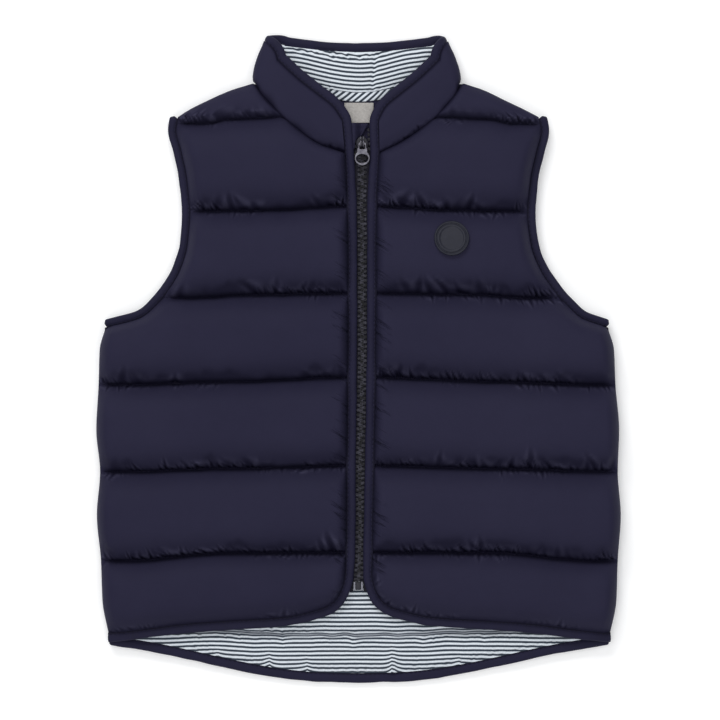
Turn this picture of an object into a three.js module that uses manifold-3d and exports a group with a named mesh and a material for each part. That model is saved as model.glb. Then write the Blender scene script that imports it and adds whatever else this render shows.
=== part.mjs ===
import * as THREE from 'three';
import Module from 'manifold-3d';
import { mergeVertices } from 'three/addons/utils/BufferGeometryUtils.js';

// Child's quilted vest, zipped up and laid on its back. Millimetres, +Z up, the collar towards +Y.
// The wearer's right side lies at -X and the wearer's left side at +X.

// Heights
const MID_HEIGHT = 10.5; // plane where the fronts lie on the back
const LAYER_GAP = 0.4; // each side of that plane
const EDGE_DIP = 2.6; // how far the plane sinks at armholes and side seams
const EDGE_DIP_WIDTH = 20;
const SHOULDER_DIP_LENGTH = 12; // that sinking begins over this length below the shoulder's tip
const TAIL_DIP = { depth: 5.2, topY: -132, length: 82 };
const NECK_DIP = { depth: 3, lowY: 125, length: 45, halfWidth: 50, fade: 20 }; // of the back's inside

// Walls
const SEAM_GAP = 0.3;
const SEAM_THICKNESS = 3.2; // quilted wall at a quilt line
const SIDE_THICKNESS = 1.8; // quilted wall at the side seam
const FRONT_EDGE_THICKNESS = 4.6;
const PUFF_WIDTH_AT_SIDE = 20;
const PUFF_WIDTH_AT_FRONT = 15;
const PUFF_EXPONENT = 2.6;
const SIDE_SLOPE_WIDTH = 6; // the wall thickens from the side seam inwards
const FRONT_SLOPE_WIDTH = 8; // and from the quilting to the front edge
const FLAT_SHARE = 1.3; // above 1, the underside's puffs are cut flat where they rest
const LINING_THICKNESS = 1;
const LINING_DROP = 1.6; // room left for the tail's lining, which begins over this length
const LINING_DROP_LENGTH = 6;

// Bindings
const BINDING_WIDTH = 5.8;
const BINDING_HEIGHT = 4;
const ARMHOLE_BINDING_WIDTH = 5.2;
const ARMHOLE_BINDING_HEIGHT = 3.6;
const TAIL_BINDING_WIDTH = 6.4;
const MAX_MITRE = 1.3;
const HEM_CLEARANCE = 0.1;
const CORNER_COLUMNS = 5; // the binding rises to the zip's height over the hem's last columns
const BINDING_SECTION = [
  { across: 1, rise: 0.22 },
  { across: 0.62, rise: 0.5 },
  { across: 0.3, rise: 0.5 },
  { across: 0, rise: 0.26 },
  { across: 0, rise: -0.26 },
  { across: 0.3, rise: -0.5 },
  { across: 0.62, rise: -0.5 },
  { across: 1, rise: -0.22 },
];
const ROUNDED_END = [
  { distance: 0, size: 0.45 },
  { distance: 0.7, size: 0.85 },
  { distance: 1.9, size: 1 },
];

// Cut edge of the fronts and the back: shoulder, armhole, side seam.
const SHOULDER_TIP_Y = 165.2;
const UNDERARM_Y = 22;
const SIDE_EDGE = [
  { y: 187.7, minusX: -72.4, plusX: 72.0 },
  { y: 183.6, minusX: -86.0, plusX: 84.7 },
  { y: 176.8, minusX: -101.7, plusX: 98.9 },
  { y: 170.0, minusX: -115.3, plusX: 113.2 },
  { y: SHOULDER_TIP_Y, minusX: -122.7, plusX: 122.4 },
  { y: 156.4, minusX: -124.2, plusX: 124.4 },
  { y: 142.8, minusX: -120.7, plusX: 121.2 },
  { y: 122.4, minusX: -116.6, plusX: 116.8 },
  { y: 98.6, minusX: -114.8, plusX: 115.0 },
  { y: 78.2, minusX: -116.3, plusX: 117.2 },
  { y: 61.2, minusX: -121.3, plusX: 123.6 },
  { y: 47.5, minusX: -129.3, plusX: 132.9 },
  { y: 37.5, minusX: -137.4, plusX: 141.8 },
  { y: 28.5, minusX: -148.3, plusX: 151.5 },
  { y: UNDERARM_Y, minusX: -172.2, plusX: 169.6 },
  { y: 6.8, minusX: -176.2, plusX: 173.9 },
  { y: -17, minusX: -176.9, plusX: 174.9 },
  { y: -47.6, minusX: -178.5, plusX: 177.4 },
  { y: -76, minusX: -175.9, plusX: 176.4 },
  { y: -105.4, minusX: -178.1, plusX: 178.5 },
  { y: -136.7, minusX: -175.3, plusX: 176.4 },
  { y: -163, minusX: -174.4, plusX: 175.6 },
  { y: -190.4, minusX: -169.4, plusX: 170.4 },
];

// Cut edge of the fronts on the other side: neck seam, then the edge beside the zip.
const NECK_CORNER_Y = 140.8;
const FRONT_EDGE = [
  { y: 187.7, minusX: -71.2, plusX: 70.8 },
  { y: 177.6, minusX: -63.6, plusX: 63.6 },
  { y: 165.0, minusX: -50.8, plusX: 52.0 },
  { y: 152.3, minusX: -35.7, plusX: 36.0 },
  { y: 145.5, minusX: -24.8, plusX: 24.5 },
  { y: NECK_CORNER_Y, minusX: -9.2, plusX: 14.2 },
  { y: 104, minusX: -7.5, plusX: 12.2 },
  { y: 44, minusX: -7.0, plusX: 11.8 },
  { y: -12, minusX: -7.3, plusX: 11.5 },
  { y: -72, minusX: -7.9, plusX: 10.4 },
  { y: -131, minusX: -8.4, plusX: 9.4 },
  { y: -150, minusX: -9.4, plusX: 9.0 },
];

// Quilt lines from the shoulder to the hem: heights at the side, in the middle of a front, at the
// front's edge and at the centre of the back; the puff below the line on the front, and its rows.
const PLAIN_ROWS = [0, 0.1, 0.33, 0.67, 0.9];
const SHOULDER_ROWS = [0, 0.3, 0.6, 0.827];
const NECK_ROWS = [0, 0.08, 0.2, 0.31, 0.4, 0.67, 0.9];
const ARMHOLE_ROWS = [0, 0.1, 0.33, 0.6, 0.78, 0.92];
const UNDERARM_ROWS = [0, 0.09, 0.16, 0.229, 0.339, 0.62, 0.9];
const QUILT_LINES = [
  { side: 187.7, middle: 187.7, front: 187.7, back: 180.2, puff: 9, rows: SHOULDER_ROWS },
  { side: 160.5, middle: 163.4, front: 165, back: 161.5, puff: 14, rows: NECK_ROWS },
  { side: 101, middle: 101.6, front: 104, back: 101, puff: 15, rows: ARMHOLE_ROWS },
  { side: 42, middle: 44.2, front: 45, back: 42, puff: 15, rows: UNDERARM_ROWS },
  { side: -17, middle: -15, front: -12, back: -17, puff: 15, rows: PLAIN_ROWS },
  { side: -76, middle: -74.1, front: -72, back: -76, puff: 15, rows: PLAIN_ROWS },
  { side: -136.7, middle: -131.4, front: -131, back: -136.7, puff: 12, rows: PLAIN_ROWS },
];

// Hem of a front, by the distance from its edge at the zip.
const HEM_SIDE_Y = -186;
const HEM = [
  { distance: 0, y: -148 },
  { distance: 2.5, y: -156.2 },
  { distance: 6, y: -162.5 },
  { distance: 11, y: -166.8 },
  { distance: 18, y: -169.6 },
  { distance: 41, y: -174.8 },
  { distance: 77, y: -177.2 },
  { distance: 111, y: -179.8 },
  { distance: 132, y: -182.6 },
  { distance: 160, y: HEM_SIDE_Y },
];

// The tail: its own quilt line and its hem, by the distance from the centre back.
const TAIL_LINE = { side: -183.4, back: -187.4 };
const TAIL_ROWS = [0, 0.2, 0.5, 0.8];
const TAIL_HEM = [
  { distance: 0, y: -213.7 },
  { distance: 30, y: -212.8 },
  { distance: 52, y: -210.6 },
  { distance: 75, y: -206.6 },
  { distance: 98, y: -201.6 },
  { distance: 122, y: -196.2 },
  { distance: 142, y: -192.2 },
  { distance: 170, y: -187.8 },
];
const TAIL_LINING_TOP_Y = -140;

// Columns of a panel's grid: distances from each edge, and how many more between them.
const EDGE_COLUMNS = [0, 2.5, 6, 11, 18];
const FRONT_MIDDLE_COLUMNS = 4;
const BACK_MIDDLE_COLUMNS = 10;
const FULL_COLUMNS_WIDTH = 60;
const NARROW_ROW_WIDTH = 44; // a narrower row runs straight from side to front

// Collar: its top edge beside the seam's height on a front, and beside the seam's place on the back.
const COLLAR_FRONT_TOP = [
  { seamY: 183, minusX: -56, plusX: 56, topY: 204.6, z: 14.4 },
  { seamY: 174, minusX: -48.6, plusX: 48.8, topY: 197.6, z: 14.4 },
  { seamY: 165, minusX: -40.4, plusX: 40.8, topY: 190.2, z: 14.5 },
  { seamY: 153, minusX: -27.6, plusX: 28.4, topY: 180.2, z: 14.8 },
  { seamY: 146, minusX: -16.8, plusX: 18.2, topY: 171.4, z: 15.2 },
  { seamY: 140.8, minusX: -11.4, plusX: 13.9, topY: 163.4, z: 15.4 },
];
const COLLAR_BACK_TOP = [
  { distance: 0, y: 210.4 },
  { distance: 20, y: 210.9 },
  { distance: 40, y: 212 },
  { distance: 56, y: 213.1 },
];
const COLLAR_BACK_NARROWING = 0.92; // the top edge's width over the seam's
const COLLAR_FRONT_END_Y = 182;
const COLLAR_FOLD = { seamX: 70.4, seamY: 188.6, topX: 63.6, topY: 212.1 }; // its outermost points
const COLLAR_BACK_Z = 4;
const COLLAR_FOLD_STEPS = 5;
const CENTRE_BACK_X = 0.25; // where each half of its binding ends
const COLLAR_SEAM_GAP = 0.5;
const COLLAR_ACROSS = [
  { share: 0, front: 1.7, back: 1.7 },
  { share: 0.14, front: 3.1, back: 3.2 },
  { share: 0.36, front: 3.6, back: COLLAR_BACK_Z },
  { share: 0.64, front: 3.6, back: COLLAR_BACK_Z },
  { share: 0.86, front: 3.1, back: 3.2 },
  { share: 1, front: 1.8, back: 1.8 },
];

// Neck tape, label and guard
const NECK_TAPE = {
  halfWidth: 40, above: 3.6, below: 4.2, thickness: 0.9, rise: 0.5, columns: 12, inset: 0.2,
};
const LABEL = { minX: -9.6, maxX: 10.2, topY: 175.2, bottomY: 161.6, thickness: 0.7, lift: 0.5 };
const GUARD = {
  minX: -8.6, topMaxX: 7.2, lowMaxX: 3.6, topY: 161, lowY: 152.4, bottomZ: 9.9, thickness: 1.2,
};

// Zip
const CHAIN_HALF_WIDTH = 2.9;
const CHAIN_HEIGHT = 2.6;
const CHAIN_BOTTOM = 1; // above the plane where the fronts lie on the back
const CHAIN_SPLIT = 0.15;
const CHAIN_BEVEL = 0.2;
const TAPE_MARGIN = 0.5; // least width of tape beside the chain
const TAPE_BOTTOM = 1.9;
const TAPE_THICKNESS = 0.7;
const ZIP_TOP_Y = 161;
const ZIP_BOTTOM_Y = -150.4;
const ZIP_STEPS = 18;
const SLIDER_LOW_Y = 141.2;
const SLIDER_HALF_LENGTH = 5.2;
const SLIDER_HALF_WIDTH = 4.4;
const SLIDER_FOOT_SHARE = 0.72; // its lower end's width over its full width
const SLIDER_Y = SLIDER_LOW_Y + SLIDER_HALF_LENGTH + SEAM_GAP;
const CHAIN_END_Y = SLIDER_LOW_Y - 2 * SEAM_GAP;
const CHAIN_PARTING_Y = SLIDER_LOW_Y - 0.1;
const ZIP_BOX = { width: 6.4, length: 6, height: 3.4, edge: 0.5 };

// Slider and pull tab, about the tab's axis
const PULL_AXIS_Z = 18.5;
const BRIDGE = { outer: 3.1, inner: 1.7, width: 2.6 };
const POST = { length: 3, fromTop: 2.4 };
const PLATE_THICKNESS = 1.2;
const LOWER_PLATE_Z = 10;
const UPPER_PLATE_Z = 14.4;
const TAB = {
  thickness: 1.5, barHalf: 0.8, corner: 0.8, neckHalfWidth: 3.5, windowHalfWidth: 2, windowEnd: 3.7,
  ringY: -9.4, ringRadiusX: 5.1, ringRadiusY: 5.1, holeY: -9.9, holeRadiusX: 3.7, holeRadiusY: 2.8,
};

// Badge: height of its face above the cloth, by radius
const BADGE = { x: 62.9, y: 82.3, lift: 0.6, segments: 28 };
const BADGE_RINGS = [
  { radius: 0, rise: 1.7 },
  { radius: 5, rise: 1.7 },
  { radius: 7.9, rise: 1.7 },
  { radius: 8.6, rise: 2.3 },
  { radius: 9.4, rise: 2.3 },
  { radius: 10, rise: 1.7 },
  { radius: 10.6, rise: 2.5 },
  { radius: 11.5, rise: 2.5 },
  { radius: 11.8, rise: 2 },
];

const SIDES = [
  { key: 'minusX', sign: -1, name: 'right' },
  { key: 'plusX', sign: 1, name: 'left' },
];

const materials = {
  shell: new THREE.MeshStandardMaterial({ color: 0x2c2a3c, roughness: 0.62, metalness: 0 }),
  binding: new THREE.MeshStandardMaterial({ color: 0x29273a, roughness: 0.7, metalness: 0 }),
  lining: new THREE.MeshStandardMaterial({ color: 0xb9c2cc, roughness: 0.85, metalness: 0 }),
  label: new THREE.MeshStandardMaterial({ color: 0xa8a39e, roughness: 0.7, metalness: 0 }),
  rubber: new THREE.MeshStandardMaterial({ color: 0x3b3c47, roughness: 0.55, metalness: 0 }),
  zip: new THREE.MeshStandardMaterial({ color: 0x1c1b24, roughness: 0.5, metalness: 0 }),
  metal: new THREE.MeshStandardMaterial({ color: 0x6a6872, roughness: 0.35, metalness: 1 }),
};

// Numbers
const VERTICES_PER_MM = 500; // points closer together than this are one
const TINY = 1e-6;
const clamp01 = (value) => Math.min(1, Math.max(0, value));
const smooth = (value) => clamp01(value) ** 2 * (3 - 2 * clamp01(value));
const mix = (from, to, share) => from + (to - from) * share;
const quarterRound = (share) => Math.sqrt(1 - (1 - clamp01(share)) ** 2);

// Reads one column of a table whose rows are sorted by another, falling or rising.
function readTable(table, position, column, value) {
  const rising = table[table.length - 1][position] > table[0][position];
  let after = table.findIndex((row) => (rising ? row[position] >= value : row[position] <= value));
  if (after < 0) after = table.length - 1;
  if (after === 0) after = 1;
  const low = table[after - 1];
  const high = table[after];
  const share = clamp01((value - low[position]) / (high[position] - low[position]));
  return mix(low[column], high[column], share);
}

function distanceToEdge(table, key, x, y) {
  let nearest = Infinity;
  for (let i = 1; i < table.length; i += 1) {
    const ax = table[i - 1][key];
    const ay = table[i - 1].y;
    const bx = table[i][key] - ax;
    const by = table[i].y - ay;
    const share = clamp01(((x - ax) * bx + (y - ay) * by) / (bx * bx + by * by));
    nearest = Math.min(nearest, Math.hypot(x - ax - bx * share, y - ay - by * share));
  }
  return nearest;
}

// Triangles gathered into one closed geometry with its faces pointing out.
class SolidBuilder {
  constructor() {
    this.positions = [];
    this.triangles = [];
    this.known = new Map();
  }

  vertex(point) {
    const id = point.toArray().map((value) => Math.round(value * VERTICES_PER_MM)).join(' ');
    if (!this.known.has(id)) {
      this.known.set(id, this.positions.length);
      this.positions.push(point.clone());
    }
    return this.known.get(id);
  }

  triangle(a, b, c) {
    const [i, j, k] = [this.vertex(a), this.vertex(b), this.vertex(c)];
    if (i !== j && j !== k && k !== i) this.triangles.push([i, j, k]);
  }

  quad(a, b, c, d) {
    this.triangle(a, b, c);
    this.triangle(a, c, d);
  }

  geometry() {
    let volume = 0;
    for (const [i, j, k] of this.triangles) {
      const cross = new THREE.Vector3().crossVectors(this.positions[j], this.positions[k]);
      volume += this.positions[i].dot(cross);
    }
    const index = this.triangles.flatMap(([i, j, k]) => (volume > 0 ? [i, j, k] : [i, k, j]));
    const geometry = new THREE.BufferGeometry();
    const flat = this.positions.flatMap((point) => point.toArray());
    geometry.setAttribute('position', new THREE.Float32BufferAttribute(flat, 3));
    geometry.setIndex(index);
    geometry.computeVertexNormals();
    return geometry;
  }
}

// A wall between two grids of points with the same rows and columns. A round wall's first and
// last columns are one.
function wallGeometry(outer, inner, isRound = false) {
  const solid = new SolidBuilder();
  const lastRow = outer.length - 1;
  const lastColumn = outer[0].length - 1;
  for (let i = 0; i < lastRow; i += 1) {
    for (let j = 0; j < lastColumn; j += 1) {
      solid.quad(outer[i][j], outer[i + 1][j], outer[i + 1][j + 1], outer[i][j + 1]);
      solid.quad(inner[i][j], inner[i][j + 1], inner[i + 1][j + 1], inner[i + 1][j]);
    }
    if (!isRound) {
      solid.quad(outer[i][0], inner[i][0], inner[i + 1][0], outer[i + 1][0]);
      const [top, low] = [outer[i][lastColumn], outer[i + 1][lastColumn]];
      solid.quad(top, low, inner[i + 1][lastColumn], inner[i][lastColumn]);
    }
  }
  for (let j = 0; j < lastColumn; j += 1) {
    solid.quad(outer[0][j], outer[0][j + 1], inner[0][j + 1], inner[0][j]);
    const [left, right] = [outer[lastRow][j], outer[lastRow][j + 1]];
    solid.quad(left, inner[lastRow][j], inner[lastRow][j + 1], right);
  }
  return solid.geometry();
}

// A solid through closed rings with the same number of points.
function ringGeometry(rings) {
  const solid = new SolidBuilder();
  const count = rings[0].length;
  for (let i = 1; i < rings.length; i += 1) {
    for (let j = 0; j < count; j += 1) {
      const next = (j + 1) % count;
      solid.quad(rings[i - 1][j], rings[i][j], rings[i][next], rings[i - 1][next]);
    }
  }
  const last = rings[rings.length - 1];
  for (let j = 1; j < count - 1; j += 1) {
    solid.triangle(rings[0][0], rings[0][j], rings[0][j + 1]);
    solid.triangle(last[0], last[j + 1], last[j]);
  }
  return solid.geometry();
}

// Height of a grid's surface over a point, on the same triangles as the wall's.
function heightOn(grid, x, y) {
  for (let i = 1; i < grid.length; i += 1) {
    for (let j = 1; j < grid[0].length; j += 1) {
      const corners = [grid[i - 1][j - 1], grid[i][j - 1], grid[i][j], grid[i - 1][j]];
      for (const [a, b, c] of [[0, 1, 2], [0, 2, 3]].map((ids) => ids.map((id) => corners[id]))) {
        const area = (b.x - a.x) * (c.y - a.y) - (c.x - a.x) * (b.y - a.y);
        const v = ((x - a.x) * (c.y - a.y) - (c.x - a.x) * (y - a.y)) / area;
        const w = ((b.x - a.x) * (y - a.y) - (x - a.x) * (b.y - a.y)) / area;
        if (v >= -TINY && w >= -TINY && v + w <= 1 + TINY) {
          return a.z + v * (b.z - a.z) + w * (c.z - a.z);
        }
      }
    }
  }
  throw new Error(`no surface over ${x}, ${y}`);
}

// The plane where the fronts lie on the back, sunk at the sides and at the tail.
function midHeight(x, y) {
  const key = x < 0 ? 'minusX' : 'plusX';
  const fromSide = distanceToEdge(SIDE_EDGE, key, x, y);
  const dipHere = smooth((SHOULDER_TIP_Y - y) / SHOULDER_DIP_LENGTH);
  const sideDip = EDGE_DIP * dipHere * (1 - clamp01(fromSide / EDGE_DIP_WIDTH)) ** 2;
  const tailDip = TAIL_DIP.depth * clamp01((TAIL_DIP.topY - y) / TAIL_DIP.length) ** 2;
  return MID_HEIGHT - sideDip - tailDip;
}

function backInsideHeight(x, y) {
  const intoLining = TAIL_LINING_TOP_Y + LINING_DROP_LENGTH - y;
  const liningRoom = LINING_DROP * smooth(intoLining / LINING_DROP_LENGTH);
  const neckDip = NECK_DIP.depth * smooth((y - NECK_DIP.lowY) / NECK_DIP.length)
    * smooth((NECK_DIP.halfWidth - Math.abs(x)) / NECK_DIP.fade);
  return midHeight(x, y) - LAYER_GAP - liningRoom - neckDip;
}

// How far a puff has risen between two quilt lines.
const puffShare = (share) => 1 - Math.abs(2 * share - 1) ** PUFF_EXPONENT;

// Distances across a row from one edge to the other.
function rowDistances(width, middleColumns) {
  const scale = Math.min(1, width / FULL_COLUMNS_WIDTH);
  const near = EDGE_COLUMNS.map((distance) => distance * scale);
  const start = near[near.length - 1];
  const step = (width - 2 * start) / (middleColumns + 1);
  const between = Array.from({ length: middleColumns }, (_, i) => start + step * (i + 1));
  const far = near.map((distance) => width - distance).reverse();
  return [...near, ...between, ...far];
}

// Rows between two lines, each with its share of the way down.
function rowsBetween(upper, lower) {
  return upper.rows.map((share) => ({ upper, lower, share, puff: upper.puff }));
}

const HEM_LINE = { side: HEM_SIDE_Y, isHem: true };
const FRONT_LINES = [...QUILT_LINES, HEM_LINE];
const FRONT_ROWS = [
  ...QUILT_LINES.flatMap((line, i) => rowsBetween(line, FRONT_LINES[i + 1])),
  { upper: QUILT_LINES[QUILT_LINES.length - 1], lower: HEM_LINE, share: 1, puff: 0 },
];

function frontLineY(line, distance, width) {
  if (line.isHem) return readTable(HEM, 'distance', 'y', width - distance);
  const constant = EDGE_COLUMNS[EDGE_COLUMNS.length - 1];
  if (width < NARROW_ROW_WIDTH) return mix(line.side, line.front, distance / width);
  const half = width / 2;
  const toMiddle = smooth((distance - constant) / (half - constant));
  const toFront = smooth((distance - half) / half);
  return line.side + (line.middle - line.side) * toMiddle + (line.front - line.middle) * toFront;
}

// One front: an inner grid on the meeting plane and an outer one that puffs up between the lines.
function frontGrids({ key, sign }) {
  const outer = [];
  const inner = [];
  for (const { upper, lower, share, puff } of FRONT_ROWS) {
    const lowerFront = lower.isHem ? HEM[0].y : lower.front;
    const sideY = mix(upper.side, lower.side, share);
    const frontY = mix(upper.front, lowerFront, share);
    const sideX = readTable(SIDE_EDGE, 'y', key, sideY);
    const frontX = readTable(FRONT_EDGE, 'y', key, frontY);
    const width = Math.abs(frontX - sideX);
    const rowOuter = [];
    const rowInner = [];
    for (const distance of rowDistances(width, FRONT_MIDDLE_COLUMNS)) {
      const x = sideX - sign * distance;
      const upperY = frontLineY(upper, distance, width);
      const lowerY = frontLineY(lower, distance, width);
      const y = mix(upperY, lowerY, share);
      const base = midHeight(x, y) + LAYER_GAP;
      const fromSide = distanceToEdge(SIDE_EDGE, key, x, y);
      const fromFront = distanceToEdge(FRONT_EDGE, key, x, y);
      const edge = mix(SIDE_THICKNESS, SEAM_THICKNESS, clamp01(fromSide / SIDE_SLOPE_WIDTH));
      const offFront = smooth(fromFront / FRONT_SLOPE_WIDTH);
      const front = mix(FRONT_EDGE_THICKNESS - SEAM_THICKNESS, 0, offFront);
      const atEdges = quarterRound(fromSide / PUFF_WIDTH_AT_SIDE)
        * quarterRound(fromFront / PUFF_WIDTH_AT_FRONT);
      rowInner.push(new THREE.Vector3(x, y, base));
      rowOuter.push(new THREE.Vector3(x, y, base + edge + front + puff * puffShare(share) * atEdges));
    }
    outer.push(rowOuter);
    inner.push(rowInner);
  }
  return { outer, inner };
}

const TAIL_END = TAIL_HEM[TAIL_HEM.length - 1];
const BACK_LINES = [...QUILT_LINES, TAIL_LINE, { side: TAIL_END.y, isTail: true }];
const BACK_ROWS = [
  ...QUILT_LINES.flatMap((line, i) => rowsBetween(line, BACK_LINES[i + 1])),
  ...rowsBetween({ ...TAIL_LINE, rows: TAIL_ROWS }, BACK_LINES[BACK_LINES.length - 1]),
  { upper: TAIL_LINE, lower: BACK_LINES[BACK_LINES.length - 1], share: 1 },
];

function backLineY(line, x, distance, half) {
  if (line.isTail) return readTable(TAIL_HEM, 'distance', 'y', Math.abs(x));
  const constant = EDGE_COLUMNS[EDGE_COLUMNS.length - 1];
  const toCentre = smooth((Math.min(distance, 2 * half - distance) - constant) / (half - constant));
  return mix(line.side, line.back, toCentre);
}

// The back: a plain inside, and an underside whose puffs are flat where they rest.
function backGrids() {
  const outer = [];
  const inner = [];
  for (const { upper, lower, share } of BACK_ROWS) {
    const sideY = mix(upper.side, lower.side, share);
    const minX = readTable(SIDE_EDGE, 'y', 'minusX', sideY);
    const maxX = readTable(SIDE_EDGE, 'y', 'plusX', sideY);
    const width = maxX - minX;
    const rowOuter = [];
    const rowInner = [];
    for (const distance of rowDistances(width, BACK_MIDDLE_COLUMNS)) {
      const x = minX + distance;
      const upperY = backLineY(upper, x, distance, width / 2);
      const lowerY = backLineY(lower, x, distance, width / 2);
      const y = mix(upperY, lowerY, share);
      const key = x < 0 ? 'minusX' : 'plusX';
      const top = backInsideHeight(x, y);
      const fromSide = distanceToEdge(SIDE_EDGE, key, x, y);
      const edge = mix(SIDE_THICKNESS, SEAM_THICKNESS, clamp01(fromSide / SIDE_SLOPE_WIDTH));
      const puff = Math.min(1, FLAT_SHARE * puffShare(share))
        * quarterRound(fromSide / PUFF_WIDTH_AT_SIDE);
      rowInner.push(new THREE.Vector3(x, y, top));
      rowOuter.push(new THREE.Vector3(x, y, (top - edge) * (1 - puff)));
    }
    outer.push(rowOuter);
    inner.push(rowInner);
  }
  return { outer, inner };
}

// A rounded strip along a sheet's edge. Each step has the edge's point, the sheet's outward normal
// and the side on which the strip lies.
function bindingGeometry(steps, sign, width, height) {
  const rings = steps.map((step, i) => {
    const before = steps[Math.max(0, i - 1)].point;
    const after = steps[Math.min(steps.length - 1, i + 1)].point;
    const intoStep = step.point.clone().sub(before).normalize();
    const outOfStep = after.clone().sub(step.point).normalize();
    const along = intoStep.clone().add(outOfStep).normalize();
    const halfTurn = Math.acos(Math.min(1, Math.max(-1, intoStep.dot(outOfStep)))) / 2;
    const isEnd = i === 0 || i === steps.length - 1;
    const mitre = isEnd ? 1 : Math.min(MAX_MITRE, 1 / Math.cos(halfTurn));
    const side = new THREE.Vector3().crossVectors(step.normal, along).multiplyScalar(sign);
    const up = new THREE.Vector3().crossVectors(along, side).multiplyScalar(sign).normalize();
    side.normalize();
    const { gap = SEAM_GAP, size = 1 } = step;
    return BINDING_SECTION.map(({ across, rise }) => step.point.clone()
      .addScaledVector(side, mitre * (gap + mix(0.5, across, size) * width))
      .addScaledVector(up, rise * size * height));
  });
  return ringGeometry(rings);
}

// The same steps, with both ends of the strip rounded.
function withRoundedEnds(steps) {
  const roundedStart = (list) => {
    const [first, second] = list;
    const along = second.point.clone().sub(first.point).normalize();
    const ends = ROUNDED_END.map(({ distance, size }) => (
      { ...first, size, point: first.point.clone().addScaledVector(along, distance) }));
    return [...ends, ...list.slice(1)];
  };
  return roundedStart(roundedStart(steps).reverse()).reverse();
}

const UP = new THREE.Vector3(0, 0, 1);
const DOWN = new THREE.Vector3(0, 0, -1);

// Points moved sideways off a flat path, square to it.
function movedAside(points, distance) {
  return points.map((point, i) => {
    const before = points[Math.max(0, i - 1)];
    const after = points[Math.min(points.length - 1, i + 1)];
    const along = new THREE.Vector2(after.x - before.x, after.y - before.y).normalize();
    return new THREE.Vector2(point.x - along.y * distance, point.y + along.x * distance);
  });
}

// Collar sections of one half, from the zip end round the fold and along the back to its centre.
function collarHalf({ key, name, sign }) {
  const frontPoints = fronts[name].inner.map((row) => row[row.length - 1])
    .filter(({ y }) => y > NECK_CORNER_Y - SEAM_GAP && y < COLLAR_FRONT_END_Y).reverse();
  const front = movedAside(frontPoints, sign * COLLAR_SEAM_GAP).map((seam, i) => {
    const read = (column) => readTable(COLLAR_FRONT_TOP, 'seamY', column, frontPoints[i].y);
    return {
      seam: new THREE.Vector3(seam.x, seam.y, read('z')),
      top: new THREE.Vector3(read(key), read('topY'), read('z')),
      normal: UP,
      backShare: 0,
    };
  });
  const backRow = back.inner[0].slice(EDGE_COLUMNS.length - 1, -EDGE_COLUMNS.length + 1)
    .filter(({ x }) => x * sign > 1);
  const backPoints = sign < 0 ? backRow : backRow.reverse();
  const backSections = backPoints.map(({ x, y }) => ({
    seam: new THREE.Vector3(x, y + COLLAR_SEAM_GAP, COLLAR_BACK_Z),
    top: collarBackTop(x),
    normal: DOWN,
    backShare: 1,
  }));
  const from = front[front.length - 1];
  const to = backSections[0];
  const radius = (from.seam.z - COLLAR_BACK_Z) / 2;
  const fold = Array.from({ length: COLLAR_FOLD_STEPS }, (_, i) => {
    const turn = (i + 1) / (COLLAR_FOLD_STEPS + 1) * Math.PI;
    const [bulge, rise] = [Math.sin(turn), Math.cos(turn)];
    const place = (start, end, x, y) => {
      const near = rise > 0 ? start : end;
      const z = COLLAR_BACK_Z + radius * (1 + rise);
      return new THREE.Vector3(mix(near.x, sign * x, bulge), mix(near.y, y, Math.sqrt(bulge)), z);
    };
    return {
      seam: place(from.seam, to.seam, COLLAR_FOLD.seamX, COLLAR_FOLD.seamY),
      top: place(from.top, to.top, COLLAR_FOLD.topX, COLLAR_FOLD.topY),
      normal: new THREE.Vector3(sign * bulge, 0, rise),
      backShare: (1 - rise) / 2,
    };
  });
  return [...front, ...fold, ...backSections];
}

function collarBackTop(x) {
  const topX = x * COLLAR_BACK_NARROWING;
  const topY = readTable(COLLAR_BACK_TOP, 'distance', 'y', Math.abs(topX));
  return new THREE.Vector3(topX, topY, COLLAR_BACK_Z);
}

function collarRow(section, direction) {
  return COLLAR_ACROSS.map(({ share, front, back }) => {
    const point = section.seam.clone().lerp(section.top, share);
    const half = mix(front, back, section.backShare);
    return point.addScaledVector(section.normal, direction * half);
  });
}

const group = new THREE.Group();

function addMesh(name, geometry, material) {
  const mesh = new THREE.Mesh(geometry, material);
  mesh.name = name;
  group.add(mesh);
  return mesh;
}

// Panels
const back = backGrids();
addMesh('back_panel', wallGeometry(back.outer, back.inner), materials.shell);
const fronts = {};
for (const side of SIDES) {
  fronts[side.name] = frontGrids(side);
  const { outer, inner } = fronts[side.name];
  addMesh(`front_${side.name}_panel`, wallGeometry(outer, inner), materials.shell);
}

// Collar and its striped lining
const collarHalves = Object.fromEntries(SIDES.map((side) => [side.name, collarHalf(side)]));
const collarSections = [...collarHalves.right, ...[...collarHalves.left].reverse()];
const collarOuter = collarSections.map((section) => collarRow(section, 1));
const collarInner = collarSections.map((section) => collarRow(section, -1));
addMesh('collar', wallGeometry(collarOuter, collarInner), materials.shell);

const backSectionRows = collarInner.filter((_, i) => collarSections[i].backShare === 1);
function liftRows(rows, lift) {
  return rows.map((row) => row.map((point) => point.clone().addScaledVector(UP, lift)));
}
const collarLiningLow = liftRows(backSectionRows, SEAM_GAP);
const collarLiningTop = liftRows(backSectionRows, SEAM_GAP + LINING_THICKNESS);
addMesh('collar_lining', wallGeometry(collarLiningTop, collarLiningLow), materials.lining);

// Lining of the tail, on the back's inner points
const tailRows = back.inner.filter((row) => row[0].y <= TAIL_LINING_TOP_Y);
const tailInset = tailRows.map((row) => row.slice(1, -1));
const tailLiningLow = liftRows(tailInset, SEAM_GAP);
const tailLiningTop = liftRows(tailInset, SEAM_GAP + LINING_THICKNESS);
addMesh('tail_lining', wallGeometry(tailLiningTop, tailLiningLow), materials.lining);

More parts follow.
